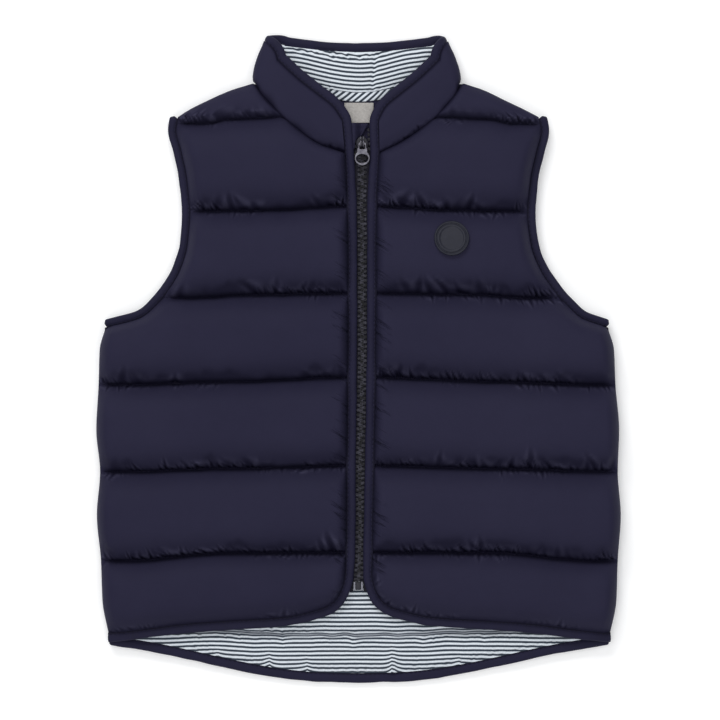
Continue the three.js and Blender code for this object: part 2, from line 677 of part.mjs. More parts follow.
// Tape over the back neck seam
function neckTapeGrid(lift) {
  const across = [NECK_TAPE.above, 0, -NECK_TAPE.below];
  return across.map((offset) => Array.from({ length: NECK_TAPE.columns + 1 }, (_, i) => {
    const x = mix(-NECK_TAPE.halfWidth, NECK_TAPE.halfWidth, i / NECK_TAPE.columns);
    const seam = backLineY(QUILT_LINES[0], x, x - SIDE_EDGE[0].minusX, -SIDE_EDGE[0].minusX);
    const y = seam + offset;
    const onBack = offset <= 0;
    const base = onBack
      ? heightOn(back.inner, x, y - NECK_TAPE.inset)
      : heightOn(collarLiningTop, x, y);
    return new THREE.Vector3(x, y, base + NECK_TAPE.rise + lift);
  }));
}
const neckTape = wallGeometry(neckTapeGrid(NECK_TAPE.thickness), neckTapeGrid(0));
addMesh('neck_tape', neckTape, materials.lining);

// Label below it
function labelGrid(lift) {
  const rows = [LABEL.topY, mix(LABEL.topY, LABEL.bottomY, 0.5), LABEL.bottomY];
  const columns = [LABEL.minX, mix(LABEL.minX, LABEL.maxX, 0.5), LABEL.maxX];
  return rows.map((y) => columns.map((x) => (
    new THREE.Vector3(x, y, heightOn(back.inner, x, y) + LABEL.lift + lift))));
}
addMesh('neck_label', wallGeometry(labelGrid(LABEL.thickness), labelGrid(0)), materials.label);

// Bindings
for (const side of SIDES) {
  const { inner } = fronts[side.name];
  const last = inner.length - 1;
  const hemRise = LAYER_GAP + BINDING_HEIGHT / 2 + HEM_CLEARANCE;
  const frontRise = LAYER_GAP + TAPE_BOTTOM + TAPE_THICKNESS + BINDING_HEIGHT / 2;
  const lift = (point, rise) => ({
    point: new THREE.Vector3(point.x, point.y, midHeight(point.x, point.y) + rise),
    normal: UP,
  });
  const hem = inner[last].map((point, i, row) => {
    const nearCorner = smooth((i - row.length + 1 + CORNER_COLUMNS) / CORNER_COLUMNS);
    return lift(point, mix(hemRise, frontRise, nearCorner));
  });
  const frontEdge = inner.slice(0, last).reverse()
    .map((row) => row[row.length - 1])
    .filter((point) => point.y < NECK_CORNER_Y + SEAM_GAP)
    .map((point) => lift(point, frontRise));
  const collarEdge = collarHalves[side.name]
    .map(({ top, normal }) => ({ point: top, normal, gap: 2 * SEAM_GAP }));
  const centreBack = {
    point: collarBackTop(side.sign * CENTRE_BACK_X),
    normal: DOWN,
    gap: 2 * SEAM_GAP,
  };
  const steps = [...hem, ...frontEdge, ...collarEdge, centreBack];
  const geometry = bindingGeometry(steps, side.sign, BINDING_WIDTH, BINDING_HEIGHT);
  addMesh(`edge_binding_${side.name}`, geometry, materials.binding);

  const armhole = fronts[side.name].inner.map((row) => row[0])
    .filter(({ y }) => y < SHOULDER_TIP_Y + SEAM_GAP && y > UNDERARM_Y - SEAM_GAP);
  for (const [strand, direction] of [['front', 1], ['back', -1]]) {
    const rise = direction * (LAYER_GAP + ARMHOLE_BINDING_HEIGHT / 2);
    const path = withRoundedEnds(armhole.map((point) => lift(point, rise)));
    const width = ARMHOLE_BINDING_WIDTH;
    const strandGeometry = bindingGeometry(path, side.sign, width, ARMHOLE_BINDING_HEIGHT);
    addMesh(`armhole_binding_${side.name}_${strand}`, strandGeometry, materials.binding);
  }
}

const tailEdge = back.inner[back.inner.length - 1].map((point) => ({
  point: new THREE.Vector3(point.x, point.y, point.z - BINDING_HEIGHT / 2 + LINING_THICKNESS),
  normal: UP,
}));
const tailBinding = bindingGeometry(tailEdge, -1, TAIL_BINDING_WIDTH, BINDING_HEIGHT);
addMesh('tail_binding', tailBinding, materials.binding);

// Zip: each half is a tape with its raised chain, split round the slider.
function bindingEdgeX(side, y) {
  const tableY = Math.min(y, NECK_CORNER_Y);
  const edge = readTable(FRONT_EDGE, 'y', side.key, tableY);
  return edge - side.sign * (SEAM_GAP + BINDING_WIDTH);
}
const zipCentreX = (y) => (bindingEdgeX(SIDES[0], y) + bindingEdgeX(SIDES[1], y)) / 2;
const sliderX = zipCentreX(SLIDER_Y);

function zipHalfGeometry(side) {
  const below = Array.from({ length: ZIP_STEPS + 1 }, (_, i) => ({
    y: mix(ZIP_BOTTOM_Y, CHAIN_END_Y, i / ZIP_STEPS),
    split: CHAIN_SPLIT,
  }));
  const apart = SLIDER_HALF_WIDTH + SEAM_GAP;
  const above = [CHAIN_PARTING_Y, SLIDER_LOW_Y + 2 * SLIDER_HALF_LENGTH, ZIP_TOP_Y]
    .map((y) => ({ y, split: apart }));
  const rings = [...below, ...above].map(({ y, split }) => {
    const centre = zipCentreX(y);
    const frontX = readTable(FRONT_EDGE, 'y', side.key, Math.min(y, NECK_CORNER_Y));
    const tapeEnd = Math.abs(frontX - centre) - SEAM_GAP - HEM_CLEARANCE;
    const chainEnd = Math.min(split + CHAIN_HALF_WIDTH, tapeEnd - TAPE_MARGIN);
    const slope = chainEnd - CHAIN_BEVEL;
    const mid = midHeight(centre, y);
    const tapeLow = mid + TAPE_BOTTOM;
    const tapeTop = tapeLow + TAPE_THICKNESS;
    const chainLow = mid + CHAIN_BOTTOM;
    const isOpen = split > CHAIN_SPLIT;
    const chainTop = isOpen ? tapeTop : chainLow + CHAIN_HEIGHT;
    const section = [
      [split, chainLow], [split, chainTop], [slope, chainTop], [chainEnd, tapeTop],
      [tapeEnd, tapeTop], [tapeEnd, tapeLow], [chainEnd, tapeLow], [slope, chainLow],
    ];
    return section.map(([across, z]) => new THREE.Vector3(centre + side.sign * across, y, z));
  });
  return ringGeometry(rings);
}
for (const side of SIDES) {
  addMesh(`zip_tape_${side.name}`, zipHalfGeometry(side), materials.zip);
}

function guardGeometry() {
  const top = GUARD.bottomZ + GUARD.thickness;
  const outline = [
    [GUARD.minX, GUARD.lowY],
    [GUARD.lowMaxX, GUARD.lowY],
    [GUARD.topMaxX, GUARD.topY],
    [GUARD.minX, GUARD.topY],
  ];
  const ring = (z) => outline.map(([x, y]) => new THREE.Vector3(x, y, z));
  return ringGeometry([ring(GUARD.bottomZ), ring(top)]);
}
addMesh('zip_guard', guardGeometry(), materials.shell);

function boxGeometry() {
  const shape = new THREE.Shape();
  const halfWidth = ZIP_BOX.width / 2;
  shape.moveTo(-halfWidth, -ZIP_BOX.length);
  shape.lineTo(halfWidth, -ZIP_BOX.length);
  shape.lineTo(halfWidth, 0);
  shape.lineTo(-halfWidth, 0);
  shape.closePath();
  return new THREE.ExtrudeGeometry(shape, {
    depth: ZIP_BOX.height - 2 * ZIP_BOX.edge,
    bevelSize: ZIP_BOX.edge,
    bevelOffset: -ZIP_BOX.edge,
    bevelThickness: ZIP_BOX.edge,
    bevelSegments: 1,
  });
}
const boxTopY = ZIP_BOTTOM_Y - SEAM_GAP;
const zipBox = addMesh('zip_box', boxGeometry(), materials.metal);
zipBox.position.set(zipCentreX(boxTopY), boxTopY, midHeight(0, boxTopY) + CHAIN_BOTTOM);

// Slider: two plates joined by a post, with a bridge over the pull tab's bar.
const wasm = await Module();
wasm.setup();

function toManifold(geometry) {
  const bare = geometry.clone();
  bare.deleteAttribute('normal');
  bare.deleteAttribute('uv');
  const merged = mergeVertices(bare, TINY);
  const vertProperties = new Float32Array(merged.attributes.position.array);
  const triVerts = new Uint32Array(merged.index.array);
  return new wasm.Manifold(new wasm.Mesh({ numProp: 3, vertProperties, triVerts }));
}

function fromManifold(solid) {
  const { vertProperties, triVerts } = solid.getMesh();
  const geometry = new THREE.BufferGeometry();
  geometry.setAttribute('position', new THREE.BufferAttribute(vertProperties, 3));
  geometry.setIndex(new THREE.BufferAttribute(triVerts, 1));
  geometry.computeVertexNormals();
  return geometry;
}

function plateGeometry(bottom) {
  const shape = new THREE.Shape();
  const low = SLIDER_HALF_WIDTH * SLIDER_FOOT_SHARE;
  shape.moveTo(-low, -SLIDER_HALF_LENGTH);
  shape.lineTo(low, -SLIDER_HALF_LENGTH);
  shape.lineTo(SLIDER_HALF_WIDTH, 0);
  shape.quadraticCurveTo(SLIDER_HALF_WIDTH, SLIDER_HALF_LENGTH, 0, SLIDER_HALF_LENGTH);
  shape.quadraticCurveTo(-SLIDER_HALF_WIDTH, SLIDER_HALF_LENGTH, -SLIDER_HALF_WIDTH, 0);
  shape.closePath();
  const options = { depth: PLATE_THICKNESS, bevelEnabled: false, curveSegments: 5 };
  return new THREE.ExtrudeGeometry(shape, options).translate(0, 0, bottom);
}

function postGeometry() {
  const height = UPPER_PLATE_Z - LOWER_PLATE_Z;
  return new THREE.BoxGeometry(BRIDGE.width, POST.length, height)
    .translate(0, SLIDER_HALF_LENGTH - POST.fromTop, LOWER_PLATE_Z + (height + PLATE_THICKNESS) / 2);
}

function bridgeGeometry() {
  const foot = UPPER_PLATE_Z + PLATE_THICKNESS / 2 - PULL_AXIS_Z;
  const shape = new THREE.Shape();
  shape.moveTo(BRIDGE.outer, foot);
  shape.lineTo(BRIDGE.outer, 0);
  shape.absarc(0, 0, BRIDGE.outer, 0, Math.PI, false);
  shape.lineTo(-BRIDGE.outer, foot);
  shape.lineTo(-BRIDGE.inner, foot);
  shape.lineTo(-BRIDGE.inner, 0);
  shape.absarc(0, 0, BRIDGE.inner, Math.PI, 0, true);
  shape.lineTo(BRIDGE.inner, foot);
  shape.closePath();
  const options = { depth: BRIDGE.width, bevelEnabled: false, curveSegments: 8 };
  return new THREE.ExtrudeGeometry(shape, options)
    .translate(0, 0, -BRIDGE.width / 2)
    .rotateX(Math.PI / 2)
    .rotateZ(Math.PI / 2)
    .translate(0, 0, PULL_AXIS_Z);
}

const sliderParts = [
  plateGeometry(LOWER_PLATE_Z),
  plateGeometry(UPPER_PLATE_Z),
  postGeometry(),
  bridgeGeometry(),
];
const sliderSolid = sliderParts.map(toManifold).reduce((joined, part) => joined.add(part));
const slider = addMesh('zip_slider', fromManifold(sliderSolid), materials.metal);
slider.position.set(sliderX, SLIDER_Y, 0);

function tabGeometry() {
  const shape = new THREE.Shape();
  const { neckHalfWidth, ringRadiusX, ringRadiusY, ringY, barHalf, corner } = TAB;
  const neckAngle = Math.acos(neckHalfWidth / ringRadiusX);
  shape.moveTo(-neckHalfWidth, ringY + ringRadiusY * Math.sin(neckAngle));
  shape.absellipse(0, ringY, ringRadiusX, ringRadiusY, Math.PI - neckAngle, neckAngle, false);
  shape.lineTo(neckHalfWidth, barHalf - corner);
  shape.lineTo(neckHalfWidth - corner, barHalf);
  shape.lineTo(corner - neckHalfWidth, barHalf);
  shape.lineTo(-neckHalfWidth, barHalf - corner);
  shape.closePath();
  const windowHole = new THREE.Path();
  windowHole.moveTo(-TAB.windowHalfWidth, -TAB.windowEnd);
  windowHole.lineTo(TAB.windowHalfWidth, -TAB.windowEnd);
  windowHole.lineTo(TAB.windowHalfWidth, -TAB.barHalf);
  windowHole.lineTo(-TAB.windowHalfWidth, -TAB.barHalf);
  windowHole.closePath();
  const ringHole = new THREE.Path();
  ringHole.absellipse(0, TAB.holeY, TAB.holeRadiusX, TAB.holeRadiusY, 0, 2 * Math.PI, false);
  shape.holes.push(windowHole, ringHole);
  const options = { depth: TAB.thickness, bevelEnabled: false, curveSegments: 14 };
  return new THREE.ExtrudeGeometry(shape, options).translate(0, 0, -TAB.thickness / 2);
}
const pullTab = addMesh('pull_tab', tabGeometry(), materials.metal);
pullTab.position.set(sliderX, SLIDER_Y, PULL_AXIS_Z);

// Badge on the wearer's left front, following the cloth below it
function badgeGrid(isFace) {
  return BADGE_RINGS.map(({ radius, rise }) => Array.from({ length: BADGE.segments + 1 }, (_, i) => {
    const turn = (i % BADGE.segments) / BADGE.segments * 2 * Math.PI;
    const x = BADGE.x + radius * Math.cos(turn);
    const y = BADGE.y + radius * Math.sin(turn);
    const base = heightOn(fronts.left.outer, x, y) + BADGE.lift;
    return new THREE.Vector3(x, y, isFace ? base + rise : base);
  }));
}
addMesh('badge', wallGeometry(badgeGrid(true), badgeGrid(false), true), materials.rubber);

export default group;
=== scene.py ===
import math

import bmesh
import bpy
import numpy as np
from mathutils import Matrix, Vector, kdtree


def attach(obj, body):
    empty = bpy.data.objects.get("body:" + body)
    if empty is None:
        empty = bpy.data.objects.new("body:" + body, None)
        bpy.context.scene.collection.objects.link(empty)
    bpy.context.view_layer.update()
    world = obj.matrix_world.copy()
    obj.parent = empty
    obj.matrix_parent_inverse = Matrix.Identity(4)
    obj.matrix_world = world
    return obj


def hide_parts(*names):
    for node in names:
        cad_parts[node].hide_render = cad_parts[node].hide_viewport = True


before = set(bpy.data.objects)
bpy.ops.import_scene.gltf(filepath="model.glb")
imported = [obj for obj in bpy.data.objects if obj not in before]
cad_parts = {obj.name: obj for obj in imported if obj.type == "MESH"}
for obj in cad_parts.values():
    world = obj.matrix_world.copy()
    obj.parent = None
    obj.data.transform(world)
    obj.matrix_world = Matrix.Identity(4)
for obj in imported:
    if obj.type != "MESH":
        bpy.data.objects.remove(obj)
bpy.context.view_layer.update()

# Child's quilted vest laid on its back. Sizes below are in millimetres, as on the real garment;
# meshes are made in metres. The wearer's right side lies at -X, the collar towards +Y.
MM = 0.001

# Heights and walls
MID_HEIGHT = 10.5
LAYER_GAP = 0.4
SEAM_GAP = 0.3
EDGE_DIP = 2.6
EDGE_DIP_WIDTH = 20
TAIL_DIP = 5.2
NECK_DIP = 3
SEAM_THICKNESS = 3.2
SIDE_THICKNESS = 1.8
FRONT_EDGE_THICKNESS = 4.6
PUFF_WIDTH_AT_SIDE = 10
PUFF_WIDTH_AT_FRONT = 8
PUFF_EXPONENT = 3.2
FLAT_SHARE = 1.3
LINING_DROP = 1.6
BINDING_HEIGHT = 4
TAPE_TOP = 2.6

# Cut edge of the fronts and the back: shoulder, armhole, side seam
SHOULDER_TIP_Y = 165.2
UNDERARM_Y = 22
SIDE_EDGE = {
    "y": [187.7, 183.6, 176.8, 170, 165.2, 156.4, 142.8, 122.4, 98.6, 78.2, 61.2, 47.5, 37.5, 28.5,
          22, 6.8, -17, -47.6, -76, -105.4, -136.7, -163, -190.4],
    "minus_x": [-72.4, -86, -101.7, -115.3, -122.7, -124.2, -120.7, -116.6, -114.8, -116.3, -121.3,
                -129.3, -137.4, -148.3, -172.2, -176.2, -176.9, -178.5, -175.9, -178.1, -175.3,
                -174.4, -169.4],
    "plus_x": [72, 84.7, 98.9, 113.2, 122.4, 124.4, 121.2, 116.8, 115, 117.2, 123.6, 132.9, 141.8,
               151.5, 169.6, 173.9, 174.9, 177.4, 176.4, 178.5, 176.4, 175.6, 170.4],
}
# Neck seam, then the edge beside the zip
NECK_CORNER_Y = 140.8
FRONT_EDGE = {
    "y": [187.7, 177.6, 165, 152.3, 145.5, 140.8, 104, 44, -12, -72, -131, -150],
    "minus_x": [-71.2, -63.6, -50.8, -35.7, -24.8, -9.2, -7.5, -7, -7.3, -7.9, -8.4, -9.4],
    "plus_x": [70.8, 63.6, 52, 36, 24.5, 14.2, 12.2, 11.8, 11.5, 10.4, 9.4, 9],
}
# Quilt lines: heights at the side, in the middle of a front, at its edge and at the centre back
QUILT_LINES = {
    "side": [187.7, 160.5, 101, 42, -17, -76, -136.7],
    "middle": [187.7, 163.4, 101.6, 44.2, -15, -74.1, -131.4],
    "front": [187.7, 165, 104, 45, -12, -72, -131],
    "back": [180.2, 161.5, 101, 42, -17, -76, -136.7],
    "puff": [7.5, 14, 15, 15, 15, 15, 12],
}
HEM_SIDE_Y = -186
HEM = {
    "distance": [0, 2.5, 6, 11, 18, 41, 77, 111, 132, 160],
    "y": [-148, -156.2, -162.5, -166.8, -169.6, -174.8, -177.2, -179.8, -182.6, HEM_SIDE_Y],
}
TAIL_LINE = {"side": -183.4, "back": -187.4}
TAIL_HEM = {
    "distance": [0, 30, 52, 75, 98, 122, 142, 170],
    "y": [-213.7, -212.8, -210.6, -206.6, -201.6, -196.2, -192.2, -187.8],
}
TAIL_LINING_TOP_Y = -140
SIDE_STRAIGHT = 18  # rows run level this far in from a side

# Collar: its top edge beside the seam
COLLAR_FRONT_TOP = {
    "seam_y": [183, 174, 165, 153, 146, 140.8],
    "minus_x": [-56, -48.6, -40.4, -27.6, -16.8, -11.4],
    "plus_x": [56, 48.8, 40.8, 28.4, 18.2, 13.9],
    "top_y": [204.6, 197.6, 190.2, 180.2, 171.4, 163.4],
    "z": [14.4, 14.4, 14.5, 14.8, 15.2, 15.4],
}
COLLAR_BACK_TOP = {"distance": [0, 20, 40, 56], "y": [209.6, 210.6, 212.7, 214.6]}
COLLAR_BACK_NARROWING = 0.92
COLLAR_FRONT_END_Y = 182
COLLAR_FOLD = {  # the outermost points of its seam and of its top edge
    "minus_x": {"seam_x": 70.4, "seam_y": 188.6, "top_x": 62.8, "top_y": 216.3},
    "plus_x": {"seam_x": 68, "seam_y": 188.2, "top_x": 59.4, "top_y": 216},
}
COLLAR_BACK_Z = 4
COLLAR_SEAM_GAP = -0.4  # the collar's sewn edge is tucked a little under the panels
CENTRE_BACK_OVERLAP = 0.2

SIDES = (("minus_x", -1, "right"), ("plus_x", 1, "left"))
BADGE = {"x": 62.9, "y": 82.3, "clear": 13}


def smooth(value):
    value = np.clip(value, 0, 1)
    return value * value * (3 - 2 * value)


def quarter_round(share):
    return np.sqrt(1 - (1 - np.clip(share, 0, 1)) ** 2)


def mix(start, end, share):
    return start + (end - start) * share


def unit(vectors):
    return vectors / np.maximum(np.linalg.norm(vectors, axis=-1, keepdims=True), 1e-9)


def slopes_of(places, values):
    """Slopes of a curve through a table's values that never overshoots them."""
    steps = np.diff(values) / np.diff(places)
    slopes = np.zeros(len(values))
    same_way = steps[:-1] * steps[1:] > 0
    together = 2 * steps[:-1] * steps[1:] / np.where(same_way, steps[:-1] + steps[1:], 1)
    slopes[1:-1] = np.where(same_way, together, 0)
    slopes[0], slopes[-1] = steps[0], steps[-1]
    return slopes


def read(table, by, column, value, corners=()):
    """A table's column as a curve, sharp only at the corners."""
    order = np.argsort(table[by])
    places = np.array(table[by], float)[order]
    values = np.array(table[column], float)[order]
    value = np.clip(np.asarray(value, float), places[0], places[-1])
    breaks = [int(np.argmin(np.abs(places - corner))) for corner in sorted(corners)]
    breaks = [0, *breaks, len(places) - 1]
    result = np.zeros(value.shape)
    for first, last in zip(breaks[:-1], breaks[1:]):
        if last <= first:
            continue
        span, level = places[first:last + 1], values[first:last + 1]
        slopes = slopes_of(span, level)
        inside = (value >= span[0]) & (value <= span[-1])
        cell = np.clip(np.searchsorted(span, value) - 1, 0, len(span) - 2)
        width = span[cell + 1] - span[cell]
        t = np.clip((value - span[cell]) / width, 0, 1)
        curve = (2 * t ** 3 - 3 * t ** 2 + 1) * level[cell] + (3 * t ** 2 - 2 * t ** 3) * level[cell + 1]
        curve += width * ((t ** 3 - 2 * t ** 2 + t) * slopes[cell] + (t ** 3 - t ** 2) * slopes[cell + 1])
        result = np.where(inside, curve, result)
    return result


SIDE_CORNERS = (UNDERARM_Y, SHOULDER_TIP_Y)


def side_x(key, y):
    return read(SIDE_EDGE, "y", key, y, SIDE_CORNERS)


def front_x(key, y):
    return read(FRONT_EDGE, "y", key, y, (NECK_CORNER_Y,))


def fine_path(reader, key, low, high, step=1.5):
    y = np.linspace(low, high, int((high - low) / step) + 1)
    return np.column_stack([reader(key, y), y])


def distance_to_path(path, x, y):
    """Distance of each point to the nearest stretch of a path."""
    nearest = np.full(np.shape(x), np.inf)
    for (ax, ay), (bx, by) in zip(path[:-1], np.diff(path, axis=0)):
        share = np.clip(((x - ax) * bx + (y - ay) * by) / (bx * bx + by * by), 0, 1)
        nearest = np.minimum(nearest, np.hypot(x - ax - bx * share, y - ay - by * share))
    return nearest


SIDE_PATHS = {key: fine_path(side_x, key, SIDE_EDGE["y"][-1], SIDE_EDGE["y"][0]) for key, _, _ in SIDES}
FRONT_PATHS = {key: fine_path(front_x, key, FRONT_EDGE["y"][-1], FRONT_EDGE["y"][0]) for key, _, _ in SIDES}


def distance_to_side(x, y):
    x, y = np.asarray(x, float), np.asarray(y, float)
    right = distance_to_path(SIDE_PATHS["minus_x"], x, y)
    left = distance_to_path(SIDE_PATHS["plus_x"], x, y)
    return np.where(x < 0, right, left)


DIPS = {  # where the garment's middle plane and the back's inside sink
    "shoulder_ramp": 12, "tail_start_y": -132, "tail_length": 82, "lining_ramp": 6,
    "neck_start_y": 125, "neck_ramp": 45, "neck_half_width": 50, "neck_side_ramp": 20,
}


def mid_height(x, y):
    """Plane where the fronts lie on the back, sunk at the sides and at the tail."""
    side_dip = EDGE_DIP * smooth((SHOULDER_TIP_Y - y) / DIPS["shoulder_ramp"])
    side_dip = side_dip * (1 - np.clip(distance_to_side(x, y) / EDGE_DIP_WIDTH, 0, 1)) ** 2
    tail_dip = TAIL_DIP * np.clip((DIPS["tail_start_y"] - y) / DIPS["tail_length"], 0, 1) ** 2
    return MID_HEIGHT - side_dip - tail_dip


def back_inside_height(x, y):
    ramp = DIPS["lining_ramp"]
    lining_room = LINING_DROP * smooth((TAIL_LINING_TOP_Y + ramp - y) / ramp)
    neck_dip = NECK_DIP * smooth((y - DIPS["neck_start_y"]) / DIPS["neck_ramp"])
    neck_dip = neck_dip * smooth((DIPS["neck_half_width"] - np.abs(x)) / DIPS["neck_side_ramp"])
    return mid_height(x, y) - LAYER_GAP - lining_room - neck_dip


def puff_share(share):
    return 1 - np.abs(2 * share - 1) ** PUFF_EXPONENT


# Wrinkles

LINE_CELLS = 4096
LINE_START = 2000
PLANE_CELLS = 256
PLANE_START = 100


def noise_line(positions, wavelength, seed):
    """Smooth one-dimensional noise between -1 and 1."""
    values = np.random.default_rng(seed).uniform(-1, 1, LINE_CELLS)
    place = np.asarray(positions) / wavelength + LINE_START
    cell = np.floor(place).astype(int)
    share = smooth(place - cell)
    return mix(values[cell % LINE_CELLS], values[(cell + 1) % LINE_CELLS], share)


def noise_plane(x, y, wavelength, seed):
    """Smooth two-dimensional noise between -1 and 1."""
    values = np.random.default_rng(seed).uniform(-1, 1, (PLANE_CELLS, PLANE_CELLS))
    px, py = np.asarray(x) / wavelength + PLANE_START, np.asarray(y) / wavelength + PLANE_START
    cx, cy = np.floor(px).astype(int), np.floor(py).astype(int)
    sx, sy = smooth(px - cx), smooth(py - cy)
    here, next_x = cx % PLANE_CELLS, (cx + 1) % PLANE_CELLS
    rows = cy % PLANE_CELLS, (cy + 1) % PLANE_CELLS
    low, high = (mix(values[row, here], values[row, next_x], sx) for row in rows)
    return mix(low, high, sy)


def waves(positions, seed, terms):
    """Line noise summed over pairs of an amount and a wavelength."""
    return sum(amount * noise_line(positions, length, seed + i) for i, (amount, length) in enumerate(terms))


def plane_waves(x, y, seed, terms):
    """Plane noise summed over pairs of an amount and a wavelength."""
    return sum(amount * noise_plane(x, y, length, seed + i) for i, (amount, length) in enumerate(terms))


def path_frames(path):
    """Length along a path, and its direction, at each of its points."""
    steps = np.linalg.norm(np.diff(path, axis=0), axis=1)
    length = np.concatenate([[0], np.cumsum(steps)])
    return length, unit(np.gradient(path, axis=0))


CREASE_FORM = {  # how a crease narrows along its length, and the ridges beside it
    "start_width": 1.25, "narrowing": 0.8, "ridge": 0.5, "ridge_at": 2.1, "ridge_width": 1.1, "skew": 0.6,
}


def one_crease(x, y, start, direction, length, width, bend):
    """A soft trough with a low ridge on either side, deepest in its first third."""
    aside = np.array([-direction[1], direction[0]])
    along = ((x - start[0]) * direction[0] + (y - start[1]) * direction[1]) / length
    across = ((x - start[0]) * aside[0] + (y - start[1]) * aside[1] - bend * length * along ** 2) / width
    within = np.clip(along, 0, 1)
    across = across / (CREASE_FORM["start_width"] - CREASE_FORM["narrowing"] * within)
    ridges = np.exp(-((np.abs(across) - CREASE_FORM["ridge_at"]) / CREASE_FORM["ridge_width"]) ** 2)
    trough = np.exp(-across ** 2) - CREASE_FORM["ridge"] * ridges
    return trough * np.sin(np.pi * within ** CREASE_FORM["skew"])


# Short creases beside a seam: sizes in millimetres, leans in degrees
CREASE_COLUMNS = ("spacing", "length", "width", "depth", "lean", "spread", "crowd")
CREASES = {kind: dict(zip(CREASE_COLUMNS, row)) for kind, row in {
    "below_line": (3.3, 6.5, 0.75, 1.5, 40, 24, 0),
    "above_line": (2.2, 8.5, 0.75, 2.1, -42, 17, 0.35),
    "folds": (7, 13, 1.9, 1.5, -30, 35, 0.2),
    "hem": (4, 7, 0.9, 1.4, -20, 35, 0.1),
    "side_edge": (6, 5, 0.9, 0.8, 0, 25, 0),
    "collar": (3, 6, 0.8, 1.3, 20, 30, 0.35),
    "lining": (4.5, 8, 1.2, 0.9, 0, 30, 0.3),
}.items()}
CROWDING = ((0.8, 40), (0.45, 13))
CREASE_CHANCE = {  # least and greatest of what differs from crease to crease
    "size": (0.45, 1), "bend": (-0.3, 0.3), "width": (0.75, 1.3), "reach": (0.6, 1.35), "step": (0.35, 1.65),
}
SMALLEST_CREASE = 0.1


def creases_beside(x, y, path, side, seed, kind, mirror=1):
    """Depth of short creases that leave a seam on one side, crowded in some places, absent in others."""
    form = CREASES[kind]
    chance = np.random.default_rng(seed)
    total = np.zeros(x.shape)
    lengths, along = path_frames(path)
    place = chance.uniform(0, form["spacing"])
    while place < lengths[-1]:
        start = np.array([np.interp(place, lengths, column) for column in path.T])
        heading = np.array([np.interp(place, lengths, column) for column in along.T])
        normal = side * np.array([-heading[1], heading[0]])
        crowded = form["crowd"] + waves(place, seed + 1, CROWDING)
        size = chance.uniform(*CREASE_CHANCE["size"]) * np.clip(crowded * 2, 0, 1)
        turn = np.radians(chance.normal(mirror * form["lean"], form["spread"]))
        bend = chance.uniform(*CREASE_CHANCE["bend"])
        width = form["width"] * chance.uniform(*CREASE_CHANCE["width"])
        reach = form["length"] * (0.4 + 0.6 * size) * chance.uniform(*CREASE_CHANCE["reach"])
        if size > SMALLEST_CREASE:
            direction = unit(np.cos(turn) * normal + np.sin(turn) * heading)
            centre = start + direction * reach / 2
            span = reach * 0.75 + 4 * width
            near = (np.abs(x - centre[0]) < span) & (np.abs(y - centre[1]) < span)
            total[near] += size * one_crease(x[near], y[near], start, direction, reach, width, bend)
        place += form["spacing"] * chance.uniform(*CREASE_CHANCE["step"])
    return form["depth"] * total


# Mesh making

def quads(*corners):
    return np.column_stack([np.ravel(part) for part in corners]).tolist()


def wall_mesh(name, outer, inner, cloth=None, is_round=False, depths=None):
    """A closed mesh between two grids of points in millimetres."""
    rows, columns = outer.shape[:2]
    top = np.arange(rows * columns).reshape(rows, columns)
    low = top + rows * columns
    faces = quads(top[:-1, :-1], top[1:, :-1], top[1:, 1:], top[:-1, 1:])
    faces += quads(low[:-1, :-1], low[:-1, 1:], low[1:, 1:], low[1:, :-1])
    faces += quads(top[0, :-1], top[0, 1:], low[0, 1:], low[0, :-1])
    faces += quads(top[-1, :-1], low[-1, :-1], low[-1, 1:], top[-1, 1:])
    if not is_round:
        faces += quads(top[:-1, 0], low[:-1, 0], low[1:, 0], top[1:, 0])
        faces += quads(top[:-1, -1], top[1:, -1], low[1:, -1], low[:-1, -1])
    points = np.concatenate([outer.reshape(-1, 3), inner.reshape(-1, 3)])
    if cloth is not None:
        cloth = np.concatenate([cloth.reshape(-1, 2)] * 2)
    whole = {key: np.concatenate([part.ravel() for part in pair]) for key, pair in (depths or {}).items()}
    return make_object(name, points, faces, cloth, depths=whole)


def ring_mesh(name, rings, cloth=None, is_closed=False):
    """A tube through rings of points in millimetres, capped unless it closes on itself."""
    points, faces = ring_faces(rings, is_closed)
    if cloth is not None:
        cloth = cloth.reshape(-1, 2)
    return make_object(name, points, faces, cloth)


def ring_faces(rings, is_closed=False, start=0):
    count, size = rings.shape[:2]
    index = np.arange(count * size).reshape(count, size) + start
    after = np.roll(index, -1, axis=0) if is_closed else index[1:]
    before = index if is_closed else index[:-1]
    faces = quads(before, after, np.roll(after, -1, axis=1), np.roll(before, -1, axis=1))
    if not is_closed:
        faces.append(index[0].tolist())
        faces.append(index[-1][::-1].tolist())
    return rings.reshape(-1, 3), faces


def many_rings_mesh(name, solids):
    """One mesh out of many small capped tubes."""
    points, faces, start = [], [], 0
    for rings in solids:
        part_points, part_faces = ring_faces(rings, start=start)
        points.append(part_points)
        faces += part_faces
        start += len(part_points)
    return make_object(name, np.concatenate(points), faces, weld=False)


SHARP_ANGLE = math.radians(48)
WELD_DISTANCE = 2e-6
LEAST_LENGTH = 1e-6


